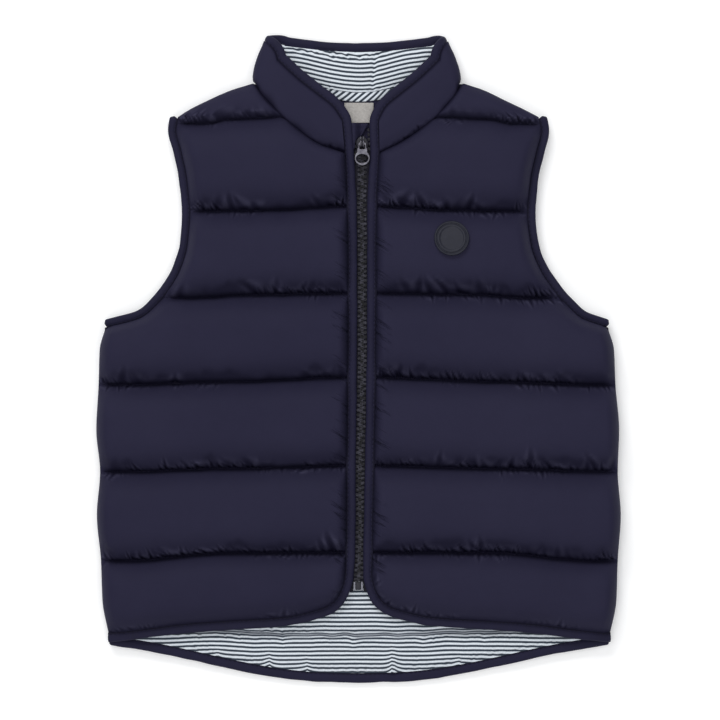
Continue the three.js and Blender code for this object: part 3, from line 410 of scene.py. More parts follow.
def make_object(name, points, faces, cloth=None, weld=True, depths=None):
    """A smooth mesh object. cloth holds each point's place in the flat cloth, in millimetres,
    and depths what else the material asks of a point, such as the painted shade of a seam it lies in."""
    mesh = bpy.data.meshes.new(name)
    mesh.from_pydata((np.asarray(points) * MM).tolist(), [], faces)
    for key, values in (depths or {}).items():
        mesh.attributes.new(key, "FLOAT", "POINT").data.foreach_set("value", values.astype(np.float32))
    if cloth is not None:
        layer = mesh.uv_layers.new(name="cloth")
        places = np.zeros(len(mesh.loops), np.int32)
        mesh.loops.foreach_get("vertex_index", places)
        layer.data.foreach_set("uv", (np.asarray(cloth) * MM).astype(np.float32)[places].ravel())
    solid = bmesh.new()
    solid.from_mesh(mesh)
    if weld:
        bmesh.ops.remove_doubles(solid, verts=solid.verts, dist=WELD_DISTANCE)
        bmesh.ops.dissolve_degenerate(solid, dist=LEAST_LENGTH, edges=solid.edges)
    return shaded_object(name, mesh, solid)


def shaded_object(name, mesh, solid):
    """The mesh with an edited solid put back, faces outwards, smooth but for its sharp edges."""
    bmesh.ops.recalc_face_normals(solid, faces=solid.faces)
    solid.to_mesh(mesh)
    solid.free()
    mesh.name = name
    mesh.shade_smooth()
    mesh.set_sharp_from_angle(angle=SHARP_ANGLE)
    piece = bpy.data.objects.new(name, mesh)
    bpy.context.collection.objects.link(piece)
    return piece


def finish_piece(piece, material, nodes=(), body="garment"):
    piece.data.materials.clear()
    piece.data.materials.append(material)
    if nodes:
        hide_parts(*nodes)
    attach(piece, body)
    return piece


def resampled(points, step):
    """A path with even steps."""
    lengths = np.concatenate([[0], np.cumsum(np.linalg.norm(np.diff(points, axis=0), axis=1))])
    places = np.linspace(0, lengths[-1], max(2, int(lengths[-1] / step) + 1))
    return np.column_stack([np.interp(places, lengths, column) for column in points.T])


def eased_path(points, passes):
    """A path with its corners rounded off and its ends kept."""
    for _ in range(passes):
        points[1:-1] = (points[:-2] + 2 * points[1:-1] + points[2:]) / 4
    return points


# Materials

class Nodes:
    """Short forms for building a material's node tree."""

    def __init__(self, name):
        self.material = bpy.data.materials.new(name)
        self.material.use_nodes = True
        self.tree = self.material.node_tree
        self.shader = self.tree.nodes["Principled BSDF"]

    def add(self, kind, inputs=None, **settings):
        node = self.tree.nodes.new(kind)
        for key, value in settings.items():
            setattr(node, key, value)
        for key, value in (inputs or {}).items():
            if isinstance(value, bpy.types.NodeSocket):
                self.tree.links.new(value, node.inputs[key])
            else:
                node.inputs[key].default_value = value
        return node

    def math(self, operation, first, second=0.0, clamp=False):
        inputs = {0: first} if operation in ("SINE", "ABSOLUTE", "FRACT") else {0: first, 1: second}
        return self.add("ShaderNodeMath", inputs, operation=operation, use_clamp=clamp).outputs[0]

    def noise(self, vector, scale, detail=3.0, roughness=0.5):
        inputs = {"Vector": vector, "Scale": scale, "Detail": detail, "Roughness": roughness}
        return self.add("ShaderNodeTexNoise", inputs).outputs["Fac"]

    def span(self, value, low, high, to_low, to_high):
        inputs = {"Value": value, "From Min": low, "From Max": high, "To Min": to_low, "To Max": to_high}
        return self.add("ShaderNodeMapRange", inputs).outputs[0]

    def blend(self, factor, first, second):
        inputs = {0: factor, 6: first, 7: second}
        return self.add("ShaderNodeMix", inputs, data_type="RGBA").outputs[2]

    def bump(self, height, distance, strength=1.0, normal=None):
        inputs = {"Height": height, "Distance": distance, "Strength": strength}
        if normal is not None:
            inputs["Normal"] = normal
        return self.add("ShaderNodeBump", inputs).outputs[0]

    def place(self):
        return self.add("ShaderNodeTexCoord").outputs["Object"]

    def cloth_place(self):
        return self.add("ShaderNodeUVMap", uv_map="cloth").outputs[0]

    def point_value(self, name):
        return self.add("ShaderNodeAttribute", attribute_name=name).outputs["Fac"]

    def set(self, **values):
        for key, value in values.items():
            socket = self.shader.inputs[key.replace("_", " ")]
            if isinstance(value, bpy.types.NodeSocket):
                self.tree.links.new(value, socket)
            else:
                socket.default_value = value


def colour(red, green, blue):
    return (red, green, blue, 1.0)


def ridges(nodes, value, pitch):
    """Even ridges, one to a pitch."""
    return nodes.math("SINE", nodes.math("MULTIPLY", value, 2 * math.pi / pitch))


def weave_height(nodes, place, threads):
    """Over and under threads, so many to a metre."""
    parts = nodes.add("ShaderNodeSeparateXYZ", {0: place})
    across, down = (ridges(nodes, parts.outputs[i], 1 / threads) for i in (0, 1))
    return nodes.math("MULTIPLY", across, down)


TONES = (0.3, 0.7)  # the part of a noise that is drawn out into two tones


def two_tones(nodes, noise, first, second, tones=TONES):
    """Colour that changes with a noise from the first to the second."""
    share = nodes.span(noise, *tones, 0, 1) if tones else noise
    return nodes.blend(share, colour(*first), colour(*second))


def plain_material(name, grain, colours, roughness, bump=None, weave=None, tones=TONES, **settings):
    """Two cloudy tones, with a fine bump, a weave or both, each by its scale, depth and strength."""
    nodes = Nodes(name)
    place = nodes.place()
    tone = nodes.noise(place, *grain)
    base = two_tones(nodes, tone, *colours, tones)
    nodes.set(Base_Color=base, Roughness=nodes.span(tone, *TONES, *roughness), **settings)
    normal = None
    if bump:
        normal = nodes.bump(nodes.noise(place, *bump[0]), *bump[1:])
    if weave:
        normal = nodes.bump(weave_height(nodes, place, weave[0]), *weave[1:], normal)
    if normal is not None:
        nodes.set(Normal=normal)
    return nodes.material


PAINTED_SHADE_SHELL = colour(0.0044, 0.0038, 0.0118)  # painted shade: the shell deep in a seam or a crease
PAINTED_GLINT_SHELL = colour(0.045, 0.043, 0.078)  # painted highlight: the shell over a crease's ridge
STROKE = {  # creases beside the zip's binding: painted shade in their troughs, and a bump
    "along": 0.3, "inwards": 0.05, "crowd": 0.07, "crowded": (0.46, 0.56), "dark": (0.57, 0.66),
    "ridge": (0.49, 0.57), "ridge_height": 0.45, "darkness": 0.45, "depth": 0.0018,
}


def edge_strokes(nodes):
    """Short creases beside the zip's binding, from the place and reach stored at each point: their painted
    shade, and their bump height.
    """
    place, reach = nodes.point_value("stroke_place"), nodes.point_value("stroke_reach")
    stretched = nodes.add("ShaderNodeCombineXYZ", {0: nodes.math("MULTIPLY", place, STROKE["along"]),
                                                   1: nodes.math("MULTIPLY", reach, STROKE["inwards"])})
    crowd = nodes.add("ShaderNodeCombineXYZ", {0: nodes.math("MULTIPLY", place, STROKE["crowd"])})
    threads = nodes.noise(stretched.outputs[0], 1, 2)
    crowded = nodes.span(nodes.noise(crowd.outputs[0], 1, 1), *STROKE["crowded"], 0, 1)
    mask = nodes.math("MULTIPLY", crowded, nodes.point_value("stroke"))
    dark, ridge = (nodes.math("MULTIPLY", nodes.span(threads, *STROKE[key], 0, 1), mask)
                   for key in ("dark", "ridge"))
    return dark, nodes.math("SUBTRACT", nodes.math("MULTIPLY", ridge, STROKE["ridge_height"]), dark)


def shell_material():
    nodes = Nodes("shell_cloth")
    place = nodes.place()
    soft, cloudy = nodes.noise(place, 14, 3), nodes.noise(place, 90, 4, 0.6)
    tone = nodes.math("ADD", nodes.math("MULTIPLY", soft, 0.6), nodes.math("MULTIPLY", cloudy, 0.4))
    base = two_tones(nodes, tone, (0.0188, 0.0176, 0.0385), (0.0216, 0.0203, 0.0428), (0.35, 0.65))
    strokes, stroke_height = edge_strokes(nodes)
    # Painted shade of the creases beside the zip's binding
    strokes = nodes.math("MULTIPLY", strokes, STROKE["darkness"])
    # Painted shade of seams and creases, with that of the creases beside the zip's binding
    painted_shade = nodes.math("ADD", nodes.point_value("painted_shade"), strokes, clamp=True)
    # Painted highlight on the creases' ridges
    base = nodes.blend(nodes.math("MULTIPLY", nodes.point_value("glint"), 0.7), base, PAINTED_GLINT_SHELL)
    # Painted shade laid over the cloth's colour
    base = nodes.blend(painted_shade, base, PAINTED_SHADE_SHELL)
    bump = nodes.bump(stroke_height, STROKE["depth"], 1.0)
    bump = nodes.bump(nodes.noise(place, 260, 4, 0.65), 0.00035, 0.35, bump)
    bump = nodes.bump(weave_height(nodes, place, 1500), 0.00004, 0.4, bump)
    nodes.set(Base_Color=base, Roughness=nodes.span(cloudy, *TONES, 0.56, 0.68), Normal=bump, IOR=1.25)
    nodes.set(Sheen_Weight=0.03, Sheen_Roughness=0.4, Specular_IOR_Level=0.13)
    nodes.set(Sheen_Tint=colour(0.45, 0.45, 0.9))
    return nodes.material


RIB_PITCH = 0.0009
CROSS_PITCH = 0.0007
SEWN_EDGE = (0.0007, 0.0018)  # the binding's sewn edge lies in shadow up to here


def binding_material():
    nodes = Nodes("binding_cloth")
    place = nodes.place()
    parts = nodes.add("ShaderNodeSeparateXYZ", {0: nodes.cloth_place()})
    rib, cross = ridges(nodes, parts.outputs[0], RIB_PITCH), ridges(nodes, parts.outputs[1], CROSS_PITCH)
    tone = nodes.noise(place, 120, 4, 0.6)
    base = two_tones(nodes, tone, (0.0115, 0.0106, 0.0285), (0.0145, 0.0134, 0.035))
    # Painted shadow along the binding's sewn edge
    base = nodes.blend(nodes.span(parts.outputs[1], *SEWN_EDGE, 0.8, 0), base, PAINTED_SHADE_SHELL)
    bump = nodes.bump(nodes.noise(place, 300, 3), 0.0003, 0.35)
    bump = nodes.bump(nodes.math("ADD", rib, nodes.math("MULTIPLY", cross, 0.5)), 0.00005, 0.5, bump)
    nodes.set(Base_Color=base, Roughness=nodes.span(tone, *TONES, 0.62, 0.74), Normal=bump)
    nodes.set(Sheen_Weight=0.03, Sheen_Roughness=0.5, Specular_IOR_Level=0.12)
    nodes.set(Sheen_Tint=colour(0.5, 0.5, 0.85))
    return nodes.material


# Painted shade of the striped lining in its creases
PAINTED_SHADE_LINING = colour(0.05, 0.06, 0.085)
STRIPE_PITCH = 0.00296
STRIPE_HALF_SHARE = 0.25  # half a navy stripe, as a share of the pitch
STRIPE_BLUR = 0.045
STRIPE_WANDER = 0.1
KNIT_PITCH = 0.0007
COURSE_PITCH = KNIT_PITCH / 1.3


def striped_material(name):
    """Jersey with fine stripes across the cloth's second direction, and its knit."""
    nodes = Nodes(name)
    place = nodes.cloth_place()
    parts = nodes.add("ShaderNodeSeparateXYZ", {0: place})
    wander = nodes.math("MULTIPLY", nodes.math("SUBTRACT", nodes.noise(place, 160, 2), 0.5), STRIPE_WANDER)
    turns = nodes.math("ADD", nodes.math("DIVIDE", parts.outputs[1], STRIPE_PITCH), wander)
    phase = nodes.math("ABSOLUTE", nodes.math("SUBTRACT", nodes.math("FRACT", turns), 0.5))
    navy = nodes.span(phase, STRIPE_HALF_SHARE - STRIPE_BLUR, STRIPE_HALF_SHARE + STRIPE_BLUR, 1, 0)
    grain = nodes.noise(place, 900, 3, 0.7)
    white = two_tones(nodes, grain, (0.62, 0.67, 0.73), (0.76, 0.81, 0.87))
    dark = two_tones(nodes, grain, (0.016, 0.024, 0.038), (0.034, 0.048, 0.07))
    wale = ridges(nodes, parts.outputs[0], KNIT_PITCH)
    course = ridges(nodes, parts.outputs[1], COURSE_PITCH)
    knit = nodes.math("ADD", nodes.math("ABSOLUTE", wale), nodes.math("MULTIPLY", course, 0.5))
    bump = nodes.bump(nodes.noise(place, 240, 3), 0.0004, 0.4)
    bump = nodes.bump(knit, 0.00009, 0.5, bump)
    # Painted shade in the lining's creases
    base = nodes.blend(nodes.point_value("painted_shade"), nodes.blend(navy, white, dark), PAINTED_SHADE_LINING)
    nodes.set(Base_Color=base, Roughness=nodes.span(grain, *TONES, 0.82, 0.92), Normal=bump)
    nodes.set(Sheen_Weight=0.15, Sheen_Roughness=0.6, Specular_IOR_Level=0.2)
    return nodes.material


# The quilting thread is coloured as dark as the painted shade deep in the seams it lies in.
def thread_material():
    colours = (0.0035, 0.003, 0.009), (0.0065, 0.0058, 0.016)
    return plain_material("quilting_thread", (500, 3), colours, (0.7, 0.85), tones=None,
                          Specular_IOR_Level=0.1)


def label_material():
    colours = (0.3, 0.285, 0.27), (0.42, 0.4, 0.38)
    return plain_material("woven_label", (700, 3, 0.6), colours, (0.45, 0.6), ((220, 2), 0.0004, 0.4),
                          (1400, 0.00005, 0.6), Sheen_Weight=0.2, Specular_IOR_Level=0.4)


def tape_material():
    colours = (0.004, 0.0036, 0.009), (0.008, 0.0072, 0.016)
    return plain_material("zip_tape_cloth", (500, 3), colours, (0.7, 0.85), weave=(900, 0.0001, 0.7),
                          Sheen_Weight=0.1, Specular_IOR_Level=0.25)


def teeth_material():
    colours = (0.0022, 0.0021, 0.004), (0.042, 0.041, 0.056)
    return plain_material("moulded_teeth", (480, 3), colours, (0.45, 0.6), ((1600, 3), 0.00005, 0.5),
                          tones=(0.42, 0.66), Specular_IOR_Level=0.16)


def gunmetal_material():
    nodes = Nodes("gunmetal")
    place = nodes.place()
    tone, wear = nodes.noise(place, 420, 4, 0.6), nodes.noise(place, 1500, 3, 0.7)
    base = two_tones(nodes, tone, (0.075, 0.073, 0.09), (0.15, 0.147, 0.17))
    roughness = nodes.span(wear, *TONES, 0.28, 0.42)
    nodes.set(Base_Color=base, Roughness=roughness, Normal=nodes.bump(wear, 0.00004, 0.5), Metallic=1.0)
    return nodes.material


# Dark: the slider's body, and painted shade in the middle of the slider's bridge and of the zip's box
def dark_parts_material():
    colours = (0.006, 0.0056, 0.011), (0.012, 0.0114, 0.02)
    return plain_material("dark_parts_and_painted_shade", (420, 4, 0.6), colours, (0.35, 0.5), ((1500, 3, 0.7), 0.00004, 0.5),
                          Specular_IOR_Level=0.3)


# The box's rails, coloured light as painted highlights on its edges
def lit_stop_rails_material():
    colours = (0.15, 0.15, 0.18), (0.24, 0.24, 0.28)
    return plain_material("moulded_stop_painted_highlight", (500, 3), colours, (0.4, 0.55), ((1400, 2), 0.00004, 0.5),
                          Specular_IOR_Level=0.4)


def rubber_material():
    colours = (0.013, 0.0138, 0.0225), (0.02, 0.021, 0.032)
    return plain_material("slate_rubber", (300, 4, 0.6), colours, (0.48, 0.6),
                          ((2200, 3, 0.6), 0.00005, 0.55), Specular_IOR_Level=0.2)


def floor_material():
    nodes = Nodes("pale_floor")
    tone = nodes.noise(nodes.place(), 3, 2)
    nodes.set(Base_Color=two_tones(nodes, tone, (0.9,) * 3, (0.92,) * 3, None), Roughness=0.9)
    nodes.set(Specular_IOR_Level=0.1, Emission_Color=colour(1, 1, 1), Emission_Strength=0.17)
    return nodes.material


SHELL = shell_material()
BINDING = binding_material()
JERSEY = striped_material("striped_jersey")
BIAS_JERSEY = striped_material("striped_tape")
LABEL_CLOTH = label_material()
THREAD = thread_material()
TAPE_CLOTH = tape_material()
TEETH = teeth_material()
GUNMETAL = gunmetal_material()
DARK_PARTS_AND_SHADE = dark_parts_material()
LIT_STOP_RAILS = lit_stop_rails_material()
RUBBER = rubber_material()

# Camera: straight above, as in the photograph
VIEW_WIDTH = 0.4896  # metres of the vest's plane across the picture
VIEW_PLANE_Z = 0.012
SENSOR_WIDTH = 36
CAMERA_HEIGHT = 2.4
CAMERA_X = 0.001
camera_data = bpy.data.cameras.new("camera")
camera_data.sensor_width = SENSOR_WIDTH
camera_data.lens = SENSOR_WIDTH * (CAMERA_HEIGHT - VIEW_PLANE_Z) / VIEW_WIDTH
camera = bpy.data.objects.new("camera", camera_data)
camera.location = (CAMERA_X, 0, CAMERA_HEIGHT)
bpy.context.collection.objects.link(camera)
bpy.context.scene.camera = camera


# Quilted panels

FRONT_COLUMNS = 212
BACK_COLUMNS = 230
ROW_STEP = 1.9
LEAST_ROWS = 8
EXTRA_ROWS = {0: [0.827], 1: [0.3967], 3: [0.229, 0.25, 0.27, 0.288, 0.305, 0.322, 0.339]}
EXTRA_ROW_ROOM = 0.008
LAST_FRONT_BAND = len(QUILT_LINES["side"]) - 1
LEAST_MIDDLE = 8  # a narrower row runs straight from the side to the front edge
BAND_SHIFT = 71  # each channel reads the noise at another place
WANDER = {"waves": ((1, 9), (0.6, 23)), "reach": 0.12, "size": 0.32}
SLACK = {"reach": 7, "waves": ((3, 8), (3.4, 31)), "ripple": 1.2, "ripple_length": 4, "ramp": 4.5,
         "height": 1.4, "shade": 0.3, "top_share": 0.3}
FRONT_SWELL = ((0.22, 24), (0.06, 9))
LOFT_SWELL = ((0.05, 46),)
SEAM_DIP = 2.0  # how far the stitches pull a seam in
SEAM_DIP_WIDTH = 1.5
SEAM_SHADE = {"amount": 0.55, "width": 1.9, "side_start": 2, "side_ramp": 7}
SHOULDER_SHADE = {"amount": 0.6, "end": 1.2}  # the end counts channels down from the shoulder
HEM_SHADE = {"amount": 0.35, "width": 2.4}
ZIP_SHADE = {"amount": 0.75, "width": 1.1}
FULL_RISE = 2.2  # creases reach their depth where the cloth is puffed this much
SIDE_RAMP = 6  # full padding starts this far in from a side
FRONT_EDGE_RAMP = 8
LEAST_PADDING = 1.1
# Creases that start at the zip's binding, with painted shade in them
EDGE_STROKE = {"length": 12, "lean": 0.6, "strength": 1.4, "top": 8, "ramp": 25}
TAIL_PINCH = {"width": 2.2, "depth": 0.7}


def eased(count, pull=0.5):
    """Shares from 0 to 1, closer together at both ends."""
    even = np.linspace(0, 1, count)
    return even - pull * np.sin(2 * np.pi * even) / (2 * np.pi)


def band_shares(band, height):
    extra = np.array(EXTRA_ROWS.get(band, []))
    shares = eased(max(LEAST_ROWS, int(height / ROW_STEP)) + 1, 0.6)[:-1]
    if len(extra):
        near = np.min(np.abs(shares[:, None] - extra), axis=1) < EXTRA_ROW_ROOM
        shares = np.sort(np.concatenate([shares[~near | (shares == 0)], extra]))
    return shares


def panel_grid(sides, columns):
    """A panel's rows as its channels and the shares of the way down them, and its empty grids."""
    heights = enumerate(-np.diff(sides))
    rows = [(band, share) for band, height in heights for share in band_shares(band, height)]
    rows.append((len(sides) - 2, 1.0))
    bands, shares = (np.array(column)[:, None] for column in zip(*rows))
    outer = np.zeros((len(rows), columns, 3))
    return rows, bands, shares, outer, np.zeros(outer.shape[:2]), np.zeros(outer.shape[:2])


def front_line_y(band, distance, width):
    if band == len(QUILT_LINES["side"]):
        return read(HEM, "distance", "y", width - distance)
    side, middle, front = (QUILT_LINES[key][band] for key in ("side", "middle", "front"))
    if width < 2 * SIDE_STRAIGHT + LEAST_MIDDLE:
        return mix(side, front, distance / width)
    half = width / 2
    to_middle = smooth((distance - SIDE_STRAIGHT) / (half - SIDE_STRAIGHT))
    to_front = smooth((distance - half) / half)
    return side + (middle - side) * to_middle + (front - middle) * to_front


def near_seams(above, below, bands, last_band, reach):
    """1 on the quilt lines and 0 beyond reach of them, leaving out a panel's own edges."""
    upper = np.where(bands > 0, np.exp(-(above / reach) ** 2), 0)
    return np.maximum(upper, np.where(bands < last_band, np.exp(-(below / reach) ** 2), 0))


def slack(x, below, bands, seed):
    """Uneven sag of the cloth just above each seam, from 0 to 1."""
    reach = SLACK["reach"] + waves(x + BAND_SHIFT * bands, seed, SLACK["waves"])
    reach += SLACK["ripple"] * noise_plane(x, below, SLACK["ripple_length"], seed + 2)
    sag = np.where(bands < LAST_FRONT_BAND, smooth((reach - below) / SLACK["ramp"]), 0)
    return sag * np.where(bands == 0, SLACK["top_share"], 1)


def seam_waver(x, shares, bands, seed):
    """Small wander of the quilt lines, which the gathers pull to and fro."""
    above, below = (waves(x + BAND_SHIFT * line, seed, WANDER["waves"]) for line in (bands, bands + 1))
    above = above * np.where(bands > 0, np.exp(-(shares / WANDER["reach"]) ** 2), 0)
    below = below * np.where(bands < LAST_FRONT_BAND, np.exp(-((1 - shares) / WANDER["reach"]) ** 2), 0)
    return WANDER["size"] * (above + below)


def left_to_right(row):
    return row if row[-1, 0] > row[0, 0] else row[::-1]


def panel_creases(outer, bands, seed):
    """Creases above and below every quilt line of a panel."""
    x, y = outer[..., 0], outer[..., 1]
    total = np.zeros(x.shape)
    lean = 1 if x.max() > 0 else -1
    for band in range(1, int(bands.max()) + 1):
        line = left_to_right(outer[int(np.argmax(bands[:, 0] == band)), :, :2])
        lower, upper = bands == band, bands == band - 1
        key = seed + 20 * band
        total += lower * creases_beside(x, y, line, -1, key, "below_line", lean)
        total += upper * creases_beside(x, y, line, 1, key + 5, "above_line")
        total += upper * creases_beside(x, y, line, 1, key + 9, "folds")
    hem = left_to_right(outer[-1, :, :2])
    return total + (bands == bands.max()) * creases_beside(x, y, hem, 1, seed + 15, "hem")


def front_grid(key, sign, seed):
    """A front's points before they are lifted, and the quilt lines above and below each."""
    sides = [*QUILT_LINES["side"], HEM_SIDE_Y]
    fronts = [*QUILT_LINES["front"], HEM["y"][0]]
    rows, bands, shares, outer, upper, lower = panel_grid(sides, FRONT_COLUMNS)
    for i, (band, share) in enumerate(rows):
        start = side_x(key, mix(sides[band], sides[band + 1], share))
        end = front_x(key, mix(fronts[band], fronts[band + 1], share))
        width = abs(end - start)
        distance = eased(FRONT_COLUMNS, 0.35) * width
        upper[i] = front_line_y(band, distance, width)
        lower[i] = front_line_y(band + 1, distance, width)
        outer[i, :, 0] = start - sign * distance
        outer[i, :, 1] = mix(upper[i], lower[i], share)
    outer[..., 1] += seam_waver(outer[..., 0], shares, bands, seed + 8)
    return bands, shares, outer, upper, lower


def front_painted_shade(bands, shares, above, below, from_side, from_front, room, creases, sag):
    """Painted shade of the seams and creases, by how deep in them each point lies, from 0 to 1."""
    seam_ends = smooth((from_side - SEAM_SHADE["side_start"]) / SEAM_SHADE["side_ramp"])
    seams = near_seams(above, below, bands, LAST_FRONT_BAND, SEAM_SHADE["width"])
    painted_shade = SEAM_SHADE["amount"] * seams * seam_ends
    painted_shade += room * np.clip(0.34 * creases, 0, 0.6) + SLACK["shade"] * sag * seam_ends
    painted_shade = painted_shade * np.where(bands + shares < SHOULDER_SHADE["end"], SHOULDER_SHADE["amount"], 1)
    hem = HEM_SHADE["amount"] * np.exp(-(below / HEM_SHADE["width"]) ** 2) * (bands == LAST_FRONT_BAND)
    zip_edge = ZIP_SHADE["amount"] * np.exp(-(from_front / ZIP_SHADE["width"]) ** 2)
    return np.maximum(painted_shade + hem, zip_edge)


def front_panel(key, sign, seed):
    """A front's outer and inner points, and what its cloth asks of each of them."""
    bands, shares, outer, upper, lower = front_grid(key, sign, seed)
    x, y = outer[..., 0], outer[..., 1]
    from_side, from_front = distance_to_side(x, y), distance_to_path(FRONT_PATHS[key], x, y)
    above, below = upper - y, y - lower
    base = mid_height(x, y) + LAYER_GAP
    within = np.clip(from_side / SIDE_RAMP, 0, 1)
    edge = mix(SIDE_THICKNESS, SEAM_THICKNESS, within)
    front = (FRONT_EDGE_THICKNESS - SEAM_THICKNESS) * (1 - smooth(from_front / FRONT_EDGE_RAMP))
    at_edges = quarter_round(from_side / PUFF_WIDTH_AT_SIDE) * quarter_round(from_front / PUFF_WIDTH_AT_FRONT)
    loft = np.array(QUILT_LINES["puff"])[bands] * (1 + plane_waves(x, y, seed + 1, LOFT_SWELL))
    rise = loft * puff_share(shares) * at_edges
    sag = slack(x, below, bands, seed + 13)
    creases = panel_creases(outer, bands, seed)
    off_line = smooth(np.minimum(above, below) / 2)
    creases += creases_beside(x, y, outer[:, 0, :2], sign, seed + 5, "side_edge") * off_line
    at_badge = np.hypot(x - BADGE["x"], y - BADGE["y"]) < BADGE["clear"]
    room = np.where(at_badge, 0, np.clip(rise / FULL_RISE, 0, 1))
    dip = SEAM_DIP * near_seams(above, below, bands, LAST_FRONT_BAND, SEAM_DIP_WIDTH) * within
    relief = plane_waves(x, y, seed + 6, FRONT_SWELL) - creases - SLACK["height"] * sag
    inner = outer.copy()
    inner[..., 2] = base
    outer[..., 2] = base + np.maximum(edge + front + rise + room * relief - dip, LEAST_PADDING)
    # Painted shade of the seams, creases, hem and zip's edge
    painted_shade = front_painted_shade(bands, shares, above, below, from_side, from_front, room, creases, sag)
    # Where the painted shade of the creases beside the zip's binding falls
    strokes = EDGE_STROKE["strength"] * np.clip(1 - from_front / EDGE_STROKE["length"], 0, 1)
    strokes = np.where(at_badge, 0, np.minimum(strokes, 1))
    strokes = strokes * smooth((NECK_CORNER_Y - EDGE_STROKE["top"] - y) / EDGE_STROKE["ramp"])
    # Painted highlight on the creases' ridges, where the cloth is puffed
    glint = room * np.clip(-1.1 * creases, 0, 1)
    depths = {key: (values, 0 * values) for key, values in
              (("painted_shade", painted_shade), ("glint", glint), ("stroke", strokes))}
    depths["stroke_place"] = (y + sign * EDGE_STROKE["lean"] * from_front,) * 2
    depths["stroke_reach"] = (from_front,) * 2
    return outer, inner, depths


def back_line_y(band, x, distance, half):
    lines = len(QUILT_LINES["side"])
    if band == lines + 1:
        return read(TAIL_HEM, "distance", "y", np.abs(x))
    side, back = (TAIL_LINE[key] if band == lines else QUILT_LINES[key][band] for key in ("side", "back"))
    to_centre = (np.minimum(distance, 2 * half - distance) - SIDE_STRAIGHT) / (half - SIDE_STRAIGHT)
    return mix(side, back, smooth(to_centre))


def back_panel(seed):
    """The back's outer and inner points, and the painted shade of its seams and creases, by how deep in them
    each point lies.
    """
    sides = [*QUILT_LINES["side"], TAIL_LINE["side"], TAIL_HEM["y"][-1]]
    rows, bands, shares, outer, upper, lower = panel_grid(sides, BACK_COLUMNS)
    for i, (band, share) in enumerate(rows):
        y = mix(sides[band], sides[band + 1], share)
        start, end = side_x("minus_x", y), side_x("plus_x", y)
        distance = eased(BACK_COLUMNS, 0.3) * (end - start)
        x = start + distance
        upper[i] = back_line_y(band, x, distance, (end - start) / 2)
        lower[i] = back_line_y(band + 1, x, distance, (end - start) / 2)
        outer[i, :, 0] = x
        outer[i, :, 1] = mix(upper[i], lower[i], share)
    x, y = outer[..., 0], outer[..., 1]
    from_side = distance_to_side(x, y)
    within = np.clip(from_side / SIDE_RAMP, 0, 1)
    above, below = upper - y, y - lower
    top = back_inside_height(x, y)
    edge = mix(SIDE_THICKNESS, SEAM_THICKNESS, within)
    puff = np.minimum(1, FLAT_SHARE * puff_share(shares)) * quarter_round(from_side / PUFF_WIDTH_AT_SIDE)
    room = np.clip(2 * puff, 0, 1) * np.clip(4 * (1 - puff), 0, 1)
    creases = panel_creases(outer, bands, seed)
    tail_line = len(QUILT_LINES["side"]) - 0.5
    pinch = np.exp(-(np.where(bands < tail_line, below, above) / TAIL_PINCH["width"]) ** 2)
    pinch = pinch * (np.abs(bands - tail_line) < 1)
    inner = outer.copy()
    inner[..., 2] = top - TAIL_PINCH["depth"] * pinch * within
    outer[..., 2] = np.minimum((top - edge) * (1 - puff) + room * creases, inner[..., 2] - LEAST_PADDING)
    outer[..., 2] = np.maximum(outer[..., 2], 0)
    # Painted shade in the seams and creases
    seams = near_seams(above, below, bands, bands.max(), SEAM_SHADE["width"])
    painted_shade = SEAM_SHADE["amount"] * seams + room * np.clip(0.26 * creases, 0, 0.5)
    return outer, inner, painted_shade * within


SEEDS = {"right": 100, "left": 300, "back": 500, "collar_outside": 700, "collar_inside": 710,
         "edge_binding": 70, "armhole_binding": 80, "tail_binding": 95}
fronts = {name: front_panel(key, sign, SEEDS[name]) for key, sign, name in SIDES}
back_outer, back_inner, back_painted_shade = back_panel(SEEDS["back"])
for name, (outer, inner, depths) in fronts.items():
    panel = wall_mesh(f"quilted_front_{name}", outer, inner, depths=depths)
    finish_piece(panel, SHELL, [f"front_{name}_panel"])
panel = wall_mesh("quilted_back", back_inner, back_outer, depths={"painted_shade": (0 * back_painted_shade, back_painted_shade)})
finish_piece(panel, SHELL, ["back_panel"])


# Strips along edges

PROFILE = {  # a binding's rounded section, from its sewn side round its outer edge
    "across": [-0.14, 0, 0.07, 0.12, 0.16, 0.22, 0.32, 0.48, 0.66, 0.82, 0.94, 1,
               1, 0.94, 0.82, 0.66, 0.48, 0.32, 0.22, 0, -0.14],
    "rise": [0.24, 0.32, 0.36, 0.34, 0.34, 0.4, 0.47, 0.5, 0.5, 0.44, 0.3, 0.1,
             -0.1, -0.3, -0.44, -0.5, -0.5, -0.47, -0.38, -0.3, -0.24],
}
ROUNDED_END = 2.2
BINDING_WAVES = {"fat": ((0.06, 5.5), (0.05, 14)), "wide": ((0.035, 9), (0.03, 27)), "ridge": ((0.16, 2.6),)}
NARROW_END = {"share": 0.1, "across": 0.45}


